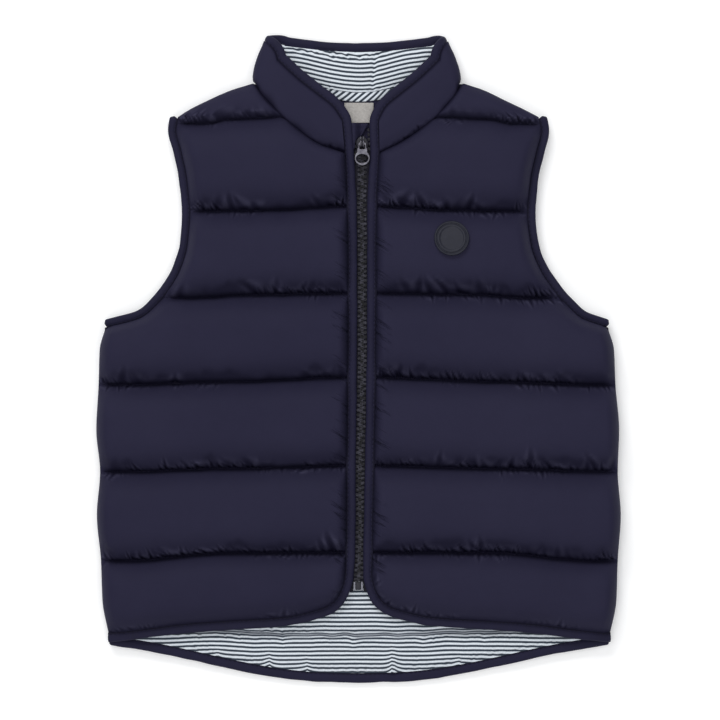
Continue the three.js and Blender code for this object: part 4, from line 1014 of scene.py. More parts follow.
def strip_rings(path, normals, sign, width, height, seed, gap=SEAM_GAP, has_round_ends=True):
    """Sections of a strip beside a path, on the side that sign gives, and their places in flat cloth."""
    length, along = path_frames(path)
    side = unit(np.cross(normals, along) * sign)
    up = unit(np.cross(along, side) * sign)
    scale = np.ones(len(path))
    if has_round_ends:
        to_end = quarter_round(np.minimum(length, length[-1] - length) / ROUNDED_END)
        scale = NARROW_END["share"] + (1 - NARROW_END["share"]) * to_end
    fat = 1 + waves(length, seed, BINDING_WAVES["fat"])
    wide = 1 + waves(length, seed + 2, BINDING_WAVES["wide"])
    ridge = waves(length, seed + 4, BINDING_WAVES["ridge"])
    across = mix(NARROW_END["across"], np.array(PROFILE["across"])[None], scale[:, None])
    across = across[..., None] * width * wide[:, None, None]
    rise = np.array(PROFILE["rise"])[None, :, None] * (height * fat * scale + ridge)[:, None, None]
    gap = np.broadcast_to(gap, len(path))[:, None, None]
    rings = path[:, None] + side[:, None] * (gap + across) + up[:, None] * rise
    around = np.linspace(0, 2.2 * width, len(PROFILE["across"]))
    cloth = np.stack(np.broadcast_arrays(length[:, None], around[None]), axis=-1)
    return rings, cloth


def level_normals(path, direction=1):
    return np.tile([0.0, 0.0, direction], (len(path), 1))


def lifted(points, rise):
    x, y = points[:, 0], points[:, 1]
    return np.column_stack([x, y, mid_height(x, y) + rise])


# Collar

def moved_aside(points, distance):
    along = unit(np.gradient(points, axis=0))
    return points + distance * np.column_stack([-along[:, 1], along[:, 0]])


def back_neck_y(x):
    start, end = side_x("minus_x", QUILT_LINES["side"][0]), side_x("plus_x", QUILT_LINES["side"][0])
    return back_line_y(0, x, x - start, (end - start) / 2)


def collar_back_top(x):
    top_x = x * COLLAR_BACK_NARROWING
    top_y = read(COLLAR_BACK_TOP, "distance", "y", np.abs(top_x))
    return np.column_stack([top_x, top_y, np.full(len(x), COLLAR_BACK_Z)])


COLLAR_BACK_END_X = 54.2
COLLAR_STEPS = {"front": 74, "fold": 30, "back": 60}
FOLD_LEAN = 8  # how far the binding tips inwards where it turns over


def collar_half(key, sign):
    """Sections of one half of the collar, from the zip round the fold to the centre back."""
    y = np.linspace(NECK_CORNER_Y, COLLAR_FRONT_END_Y, COLLAR_STEPS["front"])
    seam = moved_aside(np.column_stack([front_x(key, y), y]), sign * COLLAR_SEAM_GAP)
    z = read(COLLAR_FRONT_TOP, "seam_y", "z", y)
    top = [read(COLLAR_FRONT_TOP, "seam_y", column, y) for column in (key, "top_y")]
    front_seam = np.column_stack([seam, z])
    front_top = np.column_stack([*top, z])
    x = sign * np.linspace(COLLAR_BACK_END_X, -CENTRE_BACK_OVERLAP, COLLAR_STEPS["back"])
    back_seam = np.column_stack([x, back_neck_y(x) + COLLAR_SEAM_GAP, np.full(len(x), COLLAR_BACK_Z)])
    back_top = collar_back_top(x)
    radius = (z[-1] - COLLAR_BACK_Z) / 2
    turn = np.linspace(0, np.pi, COLLAR_STEPS["fold"] + 2)[1:-1]
    bulge, rise = np.sin(turn), np.cos(turn)

    def fold(start, end, edge):
        near = np.where(rise[:, None] > 0, start[None, :2], end[None, :2])
        fold_x = mix(near[:, 0], sign * COLLAR_FOLD[key][edge + "_x"], bulge)
        fold_y = mix(near[:, 1], COLLAR_FOLD[key][edge + "_y"], np.sqrt(bulge))
        return np.column_stack([fold_x, fold_y, COLLAR_BACK_Z + radius * (1 + rise)])

    seam_fold = fold(front_seam[-1], back_seam[0], "seam")
    top_fold = fold(front_top[-1], back_top[0], "top")
    fold_normals = np.column_stack([sign * bulge, np.zeros(len(turn)), rise])
    up_fold = unit(top_fold - seam_fold - sign * FOLD_LEAN * bulge[:, None] * [1, 0, 0])
    fold_normals = unit(fold_normals - np.sum(fold_normals * up_fold, axis=1)[:, None] * up_fold)
    return {
        "seam": np.concatenate([front_seam, seam_fold, back_seam]),
        "top": np.concatenate([front_top, top_fold, back_top]),
        "normal": np.concatenate([level_normals(z), fold_normals, level_normals(x, -1)]),
        "back_share": np.concatenate([np.zeros(len(z)), (1 - rise) / 2, np.ones(len(x))]),
    }


COLLAR_ACROSS = {  # half the thickness, from the seam to the top edge
    "share": [0, 0.04, 0.14, 0.36, 0.64, 0.86, 0.96, 1],
    "front": [1.5, 2.2, 3.1, 3.7, 3.7, 3.1, 2.3, 1.6],
    "back": [1.5, 2.2, 3.2, COLLAR_BACK_Z, COLLAR_BACK_Z, 3.2, 2.3, 1.6],
    "fold": [1.5, 2.2, 3.1, 3.7, 3.3, 2.3, 2, 1.9],
}
COLLAR_ROWS = 40
COLLAR_SWELL = ((0.3, 18),)
COLLAR_SEAM_SHADE = {"reach": 2.6, "waves": ((1.4, 8), (1.2, 21)), "amount": 0.9, "top": 0.7,
                     "top_reach": 1.2}
DEEPEST_CREASE = 1.6


def collar_grid(half, direction, seed):
    """One face of the collar, its places in flat cloth, and the painted shade of its seams and creases, by
    how deep in them each point lies.
    """
    share = eased(COLLAR_ROWS, 0.4)
    points = mix(half["seam"][:, None], half["top"][:, None], share[None, :, None])
    back = half["back_share"][:, None]
    turned = np.sin(np.pi * back)
    thick_front, thick_back, thick_fold = (read(COLLAR_ACROSS, "share", key, share)
                                           for key in ("front", "back", "fold"))
    half_thick = mix(mix(thick_front, thick_back, back), thick_fold, turned)
    height = np.linalg.norm(half["top"] - half["seam"], axis=1)[:, None]
    along = path_frames((half["seam"] + half["top"]) / 2)[0][:, None]
    up, flat_along = share[None] * height, along + 0 * share[None]
    creases = creases_beside(flat_along, up, np.column_stack([along, 0 * along]), 1, seed, "collar")
    swell = plane_waves(along, up, seed + 2, COLLAR_SWELL)
    room = np.clip((half_thick - COLLAR_ACROSS["front"][0]) / 1.2, 0, 1) * (1 - back)
    thick = half_thick + room * (swell - np.minimum(creases, DEEPEST_CREASE))
    grid = points + direction * half["normal"][:, None] * thick[..., None]
    grid[..., 2] = np.maximum(grid[..., 2], 0)
    # Painted shade along the seam, in the creases and along the top edge
    shade = COLLAR_SEAM_SHADE
    low_seam = shade["reach"] + waves(along, seed + 3, shade["waves"])
    painted_shade = shade["amount"] * np.exp(-(up / np.maximum(low_seam, 1)) ** 2)
    painted_shade += 0.5 * np.clip(creases, 0, DEEPEST_CREASE)
    top_shade = shade["top"] * np.exp(-((height - up) / shade["top_reach"]) ** 2)
    painted_shade = np.maximum(painted_shade, top_shade) * (1 - turned ** 2)
    return grid, np.stack([flat_along, up], axis=-1), painted_shade


collar_halves = {name: collar_half(key, sign) for key, sign, name in SIDES}
whole_collar = {
    key: np.concatenate([collar_halves["right"][key][:-1], collar_halves["left"][key][:-1][::-1]])
    for key in collar_halves["right"]
}
collar_outer, collar_cloth, outer_painted_shade = collar_grid(whole_collar, 1, SEEDS["collar_outside"])
collar_inner, _, inner_painted_shade = collar_grid(whole_collar, -1, SEEDS["collar_inside"])
depths = {"painted_shade": (outer_painted_shade, inner_painted_shade)}
collar_piece = wall_mesh("padded_collar", collar_outer, collar_inner, collar_cloth, depths=depths)
finish_piece(collar_piece, SHELL, ["collar"])


# Striped linings and tape

def sheet_grids(x, y, low_z, thickness):
    """A sheet's top and low points."""
    low, top = (np.stack(np.broadcast_arrays(x, y, z), axis=-1) for z in (low_z, low_z + thickness))
    return top, low


LINING_THICKNESS = 0.7
LINING_PINCH = {"x": 9.9, "width": 1.3, "depth": 1.1, "roll": 2.4, "roll_width": 2.6, "waves": ((1.5, 9),)}
COLLAR_LINING = {"lift": 0.1, "puff": 0.6, "wrinkle": ((0.4, 16), (0.15, 6)), "sag": ((0.5, 26), (0.2, 9))}


def collar_lining():
    is_back = whole_collar["back_share"] > 0.8
    rows, cloth = collar_inner[is_back], collar_cloth[is_back]
    u, v = cloth[..., 0], cloth[..., 1]
    tucks = creases_beside(u, v, cloth[:, -1], -1, 43, "lining")
    tucks += creases_beside(u, v, cloth[:, 0], 1, 44, "lining")
    from_centre = rows[..., 0] - LINING_PINCH["x"] - waves(v, 48, LINING_PINCH["waves"])
    pinch = LINING_PINCH["depth"] * np.exp(-(from_centre / LINING_PINCH["width"]) ** 2)
    wrinkle = plane_waves(u, v, 41, COLLAR_LINING["wrinkle"])
    top, low = sheet_grids(rows[..., 0], rows[..., 1], rows[..., 2] + COLLAR_LINING["lift"], LINING_THICKNESS)
    top[..., 2] += COLLAR_LINING["puff"] + np.maximum(wrinkle - tucks - pinch, -LINING_THICKNESS)
    sag = waves(u, 45, COLLAR_LINING["sag"]) + 0.7 * tucks + 0.6 * pinch
    tight = LINING_PINCH["roll"] * np.exp(-v / LINING_PINCH["roll_width"])
    return wall_mesh("collar_lining_cloth", top, low, np.stack([u, v + sag - tight], axis=-1))


# Folds in the tail's lining: where they stand, how far the stripes climb or drop, and how wide they are
TAIL_FOLDS = {"x": [-61, -35, 23.4, 68, -96], "rise": [3.4, 2.2, 4.2, 1.8, 1.7],
              "width": [2.4, 3.5, 2.6, 3, 3.5], "top": [13, 12, 22, 9, 8]}
LINE_FOLDS = {"x": [-3.4, 44, -52, 86, -82], "drop": [1.7, 1, 1.1, 0.9, 0.8],
              "width": [1.8, 2.5, 2.2, 2, 2.6]}
LINE_SQUEEZE = 1.8
TAIL_HALF_WIDTH = 172
TAIL_LINING = {"lift": 0.15, "puff": 1.1, "wrinkle": ((0.3, 18), (0.1, 6)), "wide_sag": ((0.9, 34),),
               "sag": ((0.45, 12),), "waver": ((0.9, 9),)}


def tail_kink(x, above_hem, off_line):
    """How far the folds pull the stripes up from the hem and down from the quilt line."""
    kink = np.zeros(x.shape)
    for place, rise, width, top in zip(*TAIL_FOLDS.values()):
        kink += rise * np.exp(-np.abs(x - place) / width) * smooth(1 - above_hem / top)
    for place, drop, width in zip(*LINE_FOLDS.values()):
        kink -= drop * np.exp(-np.abs(x - place) / width) * np.exp(-((off_line + 3) / 5) ** 2)
    return kink


def tail_lining():
    rows = back_inner[back_inner[:, 0, 1] <= TAIL_LINING_TOP_Y][:, 2:-2]
    x, y = rows[..., 0], rows[..., 1]
    line = back_line_y(len(QUILT_LINES["side"]), x, x + TAIL_HALF_WIDTH, TAIL_HALF_WIDTH)
    hem = read(TAIL_HEM, "distance", "y", np.abs(x))
    bulge = TAIL_LINING["puff"] * smooth(np.abs(y - line) / 7) * smooth((y - hem) / 6)
    line_path, hem_path = np.column_stack([x[0], line[0]]), np.column_stack([x[-1], hem[-1]])
    tucks = np.zeros(x.shape)
    for path, side, seed in ((line_path, 1, 52), (line_path, -1, 53), (hem_path, 1, 58)):
        tucks += creases_beside(x, y, path, side, seed, "lining")
    kink = tail_kink(x, y - hem, y - line)
    wrinkle = plane_waves(x, y, 54, TAIL_LINING["wrinkle"])
    top, low = sheet_grids(x, y, rows[..., 2] + TAIL_LINING["lift"], LINING_THICKNESS)
    top[..., 2] += np.maximum(bulge + wrinkle + 0.5 * np.abs(kink) - tucks, -0.2)
    sag = waves(x, 56, TAIL_LINING["wide_sag"]) + waves(x, 57, TAIL_LINING["sag"]) * smooth((y - hem) / 25)
    waver = line + waves(x, 59, TAIL_LINING["waver"])
    squeeze = LINE_SQUEEZE * np.tanh((y - waver) / 1.2)
    cloth = np.stack([x, y + sag + 0.4 * tucks - kink + squeeze], axis=-1)
    # Painted shade along the quilt line and in the tucks
    painted_shade = 0.75 * np.exp(-((y - waver) / 1.3) ** 2) + np.clip(0.2 * tucks, 0, 0.4)
    return wall_mesh("tail_lining_cloth", top, low, cloth, depths={"painted_shade": (painted_shade, 0 * painted_shade)})


collar_lining_piece = finish_piece(collar_lining(), JERSEY, ["collar_lining"])
tail_lining_piece = finish_piece(tail_lining(), JERSEY, ["tail_lining"])


NEIGHBOURS = {"count": 6, "blur": 0.2}


def surface_height(outer):
    """Finds a grid's height over points, from its nearest vertices."""
    tree = kdtree.KDTree(outer.shape[0] * outer.shape[1])
    for i, (x, y) in enumerate(outer[..., :2].reshape(-1, 2)):
        tree.insert((x, y, 0), i)
    tree.balance()
    heights = outer[..., 2].ravel()

    def height(x, y):
        near = tree.find_n((x, y, 0), NEIGHBOURS["count"])
        weights = np.array([1 / (distance + NEIGHBOURS["blur"]) ** 2 for _, _, distance in near])
        return float(weights @ heights[[i for _, i, _ in near]] / weights.sum())

    return np.vectorize(height)


NECK_TAPE = {"half_width": 40, "above": 1.8, "below": 4.2, "thickness": 0.9}
LABEL = {"min_x": -9.6, "max_x": 10.2, "top_y": 175.2, "bottom_y": 161.6, "thickness": 0.6}
back_inner_height = surface_height(back_inner)


NECK_TAPE_TURN = math.radians(40)  # the stripes run across the tape at this angle


def neck_tape():
    x = np.linspace(-NECK_TAPE["half_width"], NECK_TAPE["half_width"], 120)
    grid_x, offset = np.meshgrid(x, np.linspace(NECK_TAPE["above"], -NECK_TAPE["below"], 16))
    seam_height = back_inner_height(x, back_neck_y(x) - 0.4)[None] + 0.4
    rolled = 0.5 * np.cos(offset / 8 * np.pi) + 0.25 * noise_line(grid_x, 9, 61)
    edge = smooth((4.4 - np.abs(offset + 0.3)) / 1.2)
    thickness = mix(0.35, NECK_TAPE["thickness"], edge)
    low_z = seam_height + rolled + 0.6 * smooth(offset / 3)
    top, low = sheet_grids(grid_x, back_neck_y(x)[None] + offset, low_z, thickness)
    level, upright = math.cos(NECK_TAPE_TURN), math.sin(NECK_TAPE_TURN)
    along = grid_x * level + offset * upright
    across = offset * level - grid_x * upright + 0.5 * noise_line(grid_x, 12, 62)
    return wall_mesh("neck_tape_cloth", top, low, np.stack([along, across], axis=-1))


def neck_label():
    across, down = np.meshgrid(np.linspace(0, 1, 40), np.linspace(0, 1, 28))
    x, y = mix(LABEL["min_x"], LABEL["max_x"], across), mix(LABEL["top_y"], LABEL["bottom_y"], down)
    bow = 0.5 * np.sin(np.pi * across) * down + 0.18 * noise_plane(x, y, 7, 65)
    ends = smooth(np.minimum(across, 1 - across) / 0.05)
    top, low = sheet_grids(x, y, back_inner_height(x, y) + 0.5 + bow, LABEL["thickness"] * mix(0.6, 1, ends))
    return wall_mesh("neck_label_cloth", top, low, np.stack([x, y], axis=-1))


tape_piece = finish_piece(neck_tape(), BIAS_JERSEY, ["neck_tape"])
label_piece = finish_piece(neck_label(), LABEL_CLOTH, ["neck_label"])


# Bindings

BINDING_WIDTH = 5.8
FOLD_TUCK = 1.6  # how far the collar's padding swells over its binding at the fold
CORNER_POINTS = {"start": 14, "length": 12}  # where the hem's binding rises to the zip's edge, in points
ARMHOLE_BINDING = {"width": 5.2, "height": 3.6}
TAIL_BINDING_WIDTH = 6.4
STRIP_STEP = 1.1
STITCHED_POINT = 3  # the stitches run along this point of a strip's section
STITCH_RISE = 0.1
stitch_paths = []  # every row of stitches on a binding, as a path with its normals


def sewn_strip(name, path, normals, sign, width, height, seed, is_stitched=True, **ends):
    """A binding, with a row of stitches noted for later."""
    rings, cloth = strip_rings(path, normals, sign, width, height, seed, **ends)
    if is_stitched:
        stitch_paths.append((rings[:, STITCHED_POINT] + STITCH_RISE * normals, normals))
    return ring_mesh(name, rings, cloth)


def edge_binding(sign, name):
    """Strip along the hem, round the corner, up the zip's edge and over the collar to the centre back."""
    _, inner, _ = fronts[name]
    from_corner = len(inner[-1]) - np.arange(len(inner[-1]))
    near_corner = smooth((CORNER_POINTS["start"] - from_corner) / CORNER_POINTS["length"])
    low_rise = LAYER_GAP + BINDING_HEIGHT / 2 + 0.1
    high_rise = LAYER_GAP + TAPE_TOP + BINDING_HEIGHT / 2
    hem = lifted(inner[-1], mix(low_rise, high_rise, near_corner))
    column = inner[:-1, -1][::-1]
    column = lifted(column[column[:, 1] < NECK_CORNER_Y + 0.5], high_rise)
    half = collar_halves[name]
    path = np.concatenate([hem, column, half["top"]])
    normals = np.concatenate([level_normals(hem), level_normals(column), half["normal"]])
    tucked = 2 * SEAM_GAP - FOLD_TUCK * np.sin(np.pi * half["back_share"])
    gap = np.concatenate([np.full(len(hem) + len(column), SEAM_GAP), tucked])
    together = eased_path(resampled(np.column_stack([path, normals, gap]), STRIP_STEP), 3)
    return sewn_strip(f"edge_binding_{name}_strip", together[:, :3], unit(together[:, 3:6]), sign,
                      BINDING_WIDTH, BINDING_HEIGHT, SEEDS["edge_binding"] + sign, gap=together[:, 6],
                      has_round_ends=False)


def armhole_binding(sign, name, strand, direction):
    column = fronts[name][1][:, 0]
    column = column[(column[:, 1] < SHOULDER_TIP_Y + 0.5) & (column[:, 1] > UNDERARM_Y - 0.5)]
    rise = direction * (LAYER_GAP + ARMHOLE_BINDING["height"] / 2)
    path = eased_path(resampled(lifted(column, rise), STRIP_STEP), 2)
    return sewn_strip(f"armhole_binding_{name}_{strand}_strip", path, level_normals(path), sign,
                      ARMHOLE_BINDING["width"], ARMHOLE_BINDING["height"], SEEDS["armhole_binding"] + sign,
                      is_stitched=direction > 0)


def tail_binding():
    edge = back_inner[-1].copy()
    edge[:, 2] += 1 - BINDING_HEIGHT / 2
    path = eased_path(resampled(edge, STRIP_STEP), 2)
    return sewn_strip("tail_binding_strip", path, level_normals(path), -1, TAIL_BINDING_WIDTH, BINDING_HEIGHT,
                      SEEDS["tail_binding"])


for _, sign, name in SIDES:
    finish_piece(edge_binding(sign, name), BINDING, [f"edge_binding_{name}"])
    for strand, direction in (("front", 1), ("back", -1)):
        strip = armhole_binding(sign, name, strand, direction)
        finish_piece(strip, BINDING, [f"armhole_binding_{name}_{strand}"])
finish_piece(tail_binding(), BINDING, ["tail_binding"])


# Stitches

STITCH = {"steps": 6, "pitch": 3.1, "radius": 0.17, "sides": 6, "ends": 3}
STITCH_LIFT = np.array([-0.35, 0.05, 0.12, 0.05, -0.35])
STITCH_FATNESS = np.array([0.45, 0.95, 1, 0.95, 0.45])


def stitch_rings(path, normals):
    """Short threads laid end to end along a path, each dipping into the cloth at its ends."""
    track = resampled(np.column_stack([path, normals]), STITCH["pitch"] / STITCH["steps"])
    points, ups = track[:, :3], unit(track[:, 3:])
    aside = unit(np.cross(ups, unit(np.gradient(points, axis=0))))
    turns = np.arange(STITCH["sides"])[:, None] / STITCH["sides"] * 2 * np.pi
    rings = []
    for start in range(2, len(points) - STITCH["steps"] - 1, STITCH["steps"]):
        part = slice(start, start + len(STITCH_LIFT))
        section = aside[part][:, None] * np.cos(turns) + ups[part][:, None] * np.sin(turns)
        centre = points[part] + ups[part] * STITCH_LIFT[:, None]
        rings.append(centre[:, None] + section * STITCH["radius"] * STITCH_FATNESS[:, None, None])
    return rings


def seam_stitches(outer):
    """Paths of the quilting stitches, along a panel's own seam rows."""
    ends = STITCH["ends"]
    rows = [int(np.argmin(np.abs(outer[:, 0, 1] - line))) for line in QUILT_LINES["side"][1:]]
    paths = [outer[row][ends:-ends] + [0, 0, STITCH_RISE] for row in rows]
    return [(path, level_normals(path)) for path in paths]


def stitches_mesh(name, paths):
    return many_rings_mesh(name, [ring for path in paths for ring in stitch_rings(*path)])


finish_piece(stitches_mesh("binding_stitches", stitch_paths), BINDING)
for name, (outer, _, _) in fronts.items():
    finish_piece(stitches_mesh(f"quilting_stitches_{name}", seam_stitches(outer)), THREAD)


# Zip

CHAIN = {"half_width": 2.8, "bottom": 1, "height": 2.6, "pitch": 3.2}
TAPE_THICKNESS = 0.7
ZIP_TOP_Y = 161
ZIP_BOTTOM_Y = -150.4
TAPE_END_Y = -157.4
ZIP_BOX = {"width": 6.4, "length": 6, "height": 3.4, "rail": 1.3}
SLIDER_Y = 146.7
SLIDER_LOW_Y = 141.2
SLIDER_HALF_WIDTH = 4.4
SLIDER_HALF_LENGTH = 5.2


def zip_centre_x(y):
    y = np.minimum(y, NECK_CORNER_Y)
    edges = [front_x(key, y) - sign * (SEAM_GAP + BINDING_WIDTH) for key, sign, _ in SIDES]
    return (edges[0] + edges[1]) / 2


SLIDER_X = float(zip_centre_x(SLIDER_Y))


CHAIN_WAVER = ((0.3, 38), (0.12, 13))
TAPE_FORM = {"from_teeth": 0.15, "least_width": 1.5, "ripple": ((0.2, 7),), "cord": 0.25, "cord_share": 0.28,
             "cord_width": 0.1}


def chain_x(y):
    """The closed chain's middle: it wavers a little down the front."""
    return zip_centre_x(y) + waves(y, 91, CHAIN_WAVER) * smooth((SLIDER_LOW_Y - 12 - y) / 20)


def split_at(y):
    """How far each side's teeth stand from the middle: closed below the slider, apart above it."""
    return (SLIDER_HALF_WIDTH + SEAM_GAP) * smooth((y - SLIDER_LOW_Y + 3) / 6)


def zip_tape(key, sign, name):
    """Tape beside the teeth, with an end that runs down beside the box."""
    y = [np.linspace(TAPE_END_Y, ZIP_BOTTOM_Y - 0.2, 6), np.linspace(ZIP_BOTTOM_Y, ZIP_TOP_Y, 260)]
    y = np.concatenate(y)[:, None]
    start = np.where(y < ZIP_BOTTOM_Y, ZIP_BOX["width"] / 2 + SEAM_GAP, split_at(y) + TAPE_FORM["from_teeth"])
    end = np.abs(front_x(key, np.minimum(y, NECK_CORNER_Y)) - zip_centre_x(y)) - SEAM_GAP
    share = np.linspace(0, 1, 9)[None]
    across = mix(start, np.maximum(end, start + TAPE_FORM["least_width"]), share)
    low_z = mid_height(chain_x(y), y) + TAPE_TOP - TAPE_THICKNESS
    cord = TAPE_FORM["cord"] * np.exp(-((share - TAPE_FORM["cord_share"]) / TAPE_FORM["cord_width"]) ** 2)
    ripple = waves(y, 93, TAPE_FORM["ripple"]) * share + cord
    top, low = sheet_grids(chain_x(y) + sign * across, y, low_z + ripple, TAPE_THICKNESS)
    cloth = np.stack(np.broadcast_arrays(across, y), axis=-1)
    return wall_mesh(f"zip_tape_{name}_cloth", top, low, cloth)


def inset_outline(outline, inset):
    """A closed outline moved inwards."""
    along = unit(np.roll(outline, -1, axis=0) - np.roll(outline, 1, axis=0))
    return outline + inset * np.column_stack([-along[:, 1], along[:, 0]])


def layered_rings(outline, layers):
    """A plate's rings: the outline, anticlockwise, inset at each height."""
    rings = []
    for inset, height in layers:
        ring = inset_outline(outline, inset)
        rings.append(np.column_stack([ring, np.full(len(ring), height)]))
    return np.array(rings)


def bevelled(low, high, bevel):
    """Layers of a plate with its edges rounded."""
    return [(bevel, low), (0.3 * bevel, low + 0.3 * bevel), (0, low + bevel),
            (0, high - bevel), (0.3 * bevel, high - 0.3 * bevel), (bevel, high)]


TOOTH_HALF = [  # across from the tooth's root to its head, and along the zip
    [2.8, 0.5], [2.6, 0.68], [0.95, 0.68], [0.6, 0.5], [0.25, 0.5], [0.05, 0.66], [-0.55, 0.66], [-0.8, 0.42],
]
TOOTH_OUTLINE = np.array([[2.8, -0.5], *TOOTH_HALF, *(np.array(TOOTH_HALF[:0:-1]) * [1, -1])])
TOOTH_BEVEL = 0.32


def teeth_x(sign, y):
    return float(chain_x(y) + sign * split_at(y))


def zip_teeth(sign, name):
    """One side's teeth, each at right angles to its own stretch of the chain."""
    outline = TOOTH_OUTLINE[::-1] if sign > 0 else TOOTH_OUTLINE * [-1, 1]
    low_z, high_z = CHAIN["bottom"] - 0.1, CHAIN["bottom"] + CHAIN["height"]
    rings = layered_rings(outline, bevelled(low_z, high_z, TOOTH_BEVEL))
    shift = 0 if sign < 0 else CHAIN["pitch"] / 2
    solids = []
    for y in np.arange(ZIP_BOTTOM_Y + 1.2 + shift, ZIP_TOP_Y - 2, CHAIN["pitch"]):
        slope = (teeth_x(sign, y + 1) - teeth_x(sign, y - 1)) / 2
        tooth = rings + [teeth_x(sign, y), y, float(mid_height(zip_centre_x(y), y))]
        tooth[..., 1] -= slope * rings[..., 0]
        solids.append(tooth)
    return many_rings_mesh(f"zip_teeth_{name}", solids)


for key, sign, name in SIDES:
    finish_piece(zip_tape(key, sign, name), TAPE_CLOTH, [f"zip_tape_{name}"])
    finish_piece(zip_teeth(sign, name), TEETH)


# Guard behind the slider

GUARD = {"min_x": -8.6, "top_max_x": 7, "low_max_x": -3.6, "top_y": 161, "low_y": 142.4, "bottom_z": 9.9,
         "lift": 4.7, "lift_x": 2, "lift_ramp": 5, "slider_room": 0.5, "down": 8.6, "across": 14}
GUARD_CLOTH = {"thickness": 0.7, "puff": 0.6, "round": 1.2, "swell": ((0.12, 4),), "groove": 0.3,
               "groove_at": 1.6, "groove_width": 0.45}


def zip_guard():
    """Cloth behind the zip's top, slanting down beside the slider."""
    down, across = np.linspace(0, 1, 40)[:, None], np.linspace(0, 1, 34)[None]
    y = mix(GUARD["top_y"], GUARD["low_y"], down) + 0 * across
    crown = np.sqrt(np.clip(1 - ((y - SLIDER_Y) / SLIDER_HALF_LENGTH) ** 2, 0, 1))
    beside_slider = SLIDER_X - SLIDER_HALF_WIDTH * np.where(y < SLIDER_Y, 1, crown) - GUARD["slider_room"]
    max_x = mix(GUARD["top_max_x"], GUARD["low_max_x"], down)
    above = smooth((y - SLIDER_Y - SLIDER_HALF_LENGTH) / 1.5)
    x = mix(GUARD["min_x"], np.minimum(max_x, mix(beside_slider, max_x, above)), across)
    edge = [np.minimum(share, 1 - share) * GUARD[way] for share, way in ((down, "down"), (across, "across"))]
    edge = np.minimum(*edge)
    low_z = GUARD["bottom_z"] + GUARD["lift"] * smooth((GUARD["lift_x"] - x) / GUARD["lift_ramp"])
    form = GUARD_CLOTH
    groove = form["groove"] * np.exp(-((edge - form["groove_at"]) / form["groove_width"]) ** 2)
    puff = form["puff"] * quarter_round(edge / form["round"]) + plane_waves(x, y, 97, form["swell"])
    top, low = sheet_grids(x, y, low_z, form["thickness"] + puff - groove)
    return wall_mesh("zip_guard_cloth", top, low)


finish_piece(zip_guard(), SHELL, ["zip_guard"])


# Slider, stops and pull tab

PULL_AXIS_Z = 18.5
BRIDGE = {"outer": 3.1, "inner": 1.7, "rail": 0.8, "rail_x": 0.95, "middle": 1.3, "sink": 0.35}
PLATES = {"lower": 10, "thickness": 1.2, "bevel": 0.3, "upper": 14.4, "foot": 0.6}
UPPER_LAYERS = [(0.5, 0), (0.1, 0.15), (0, 0.4), (0.05, 0.75), (0.35, 1.05), (1.1, 1.25)]
SLIDER_FOOT = {"half_width": 3.168, "flare": 0.35, "flare_y": -3.6, "corner": 0.5}
SLIDER_POST = {"outline": [[-1.3, -1.5], [1.3, -1.5], [1.5, 0.4], [0.9, 1.5], [-0.9, 1.5], [-1.5, 0.4]],
               "from_top": 2.4}
FLANGE = np.array([[3.2, -4.9], [3.75, -3.4], [4.2, -0.5], [3.6, -0.5], [3.15, -3.4], [2.7, -4.9]])
FLANGE_HEIGHTS = ((PLATES["upper"] - 1.1, PLATES["upper"] + 0.5),
                  (PLATES["lower"] + 0.6, PLATES["lower"] + 2))


def slider_outline():
    """A rounded top and a narrower foot, anticlockwise."""
    turns = np.linspace(0, np.pi, 24)
    crown = np.column_stack([SLIDER_HALF_WIDTH * np.cos(turns), SLIDER_HALF_LENGTH * np.sin(turns) ** 0.9])
    low, corner = SLIDER_FOOT["half_width"], SLIDER_FOOT["corner"]
    foot = np.array([[-low - SLIDER_FOOT["flare"], SLIDER_FOOT["flare_y"]],
                     [-low, corner - SLIDER_HALF_LENGTH], [corner - low, -SLIDER_HALF_LENGTH]])
    return np.concatenate([crown, foot, foot[::-1] * [-1, 1]])


def upright(outline, low_z, high_z):
    return layered_rings(outline, [(0, low_z), (0, high_z)])


def slider_parts():
    """Two plates, the post between them, their side flanges and the middle of the bridge, coloured dark as
    painted shade.
    """
    lower, upper, foot = PLATES["lower"], PLATES["upper"], PLATES["foot"]
    post = np.array(SLIDER_POST["outline"]) + [0, SLIDER_HALF_LENGTH - SLIDER_POST["from_top"]]
    parts = [
        layered_rings(slider_outline(), bevelled(lower, lower + PLATES["thickness"], PLATES["bevel"])),
        layered_rings(slider_outline(), [(inset, upper + rise) for inset, rise in UPPER_LAYERS]),
        upright(post, lower + foot, upper + foot),
    ]
    for flange in ((FLANGE * [-1, 1])[::-1], FLANGE):
        parts += [upright(flange, *heights) for heights in FLANGE_HEIGHTS]
    # The bridge's sunk middle, coloured dark as painted shade
    middle = bridge_rings(0, BRIDGE["middle"], BRIDGE["sink"])
    return [part + [SLIDER_X, SLIDER_Y, 0] for part in parts] + [middle]


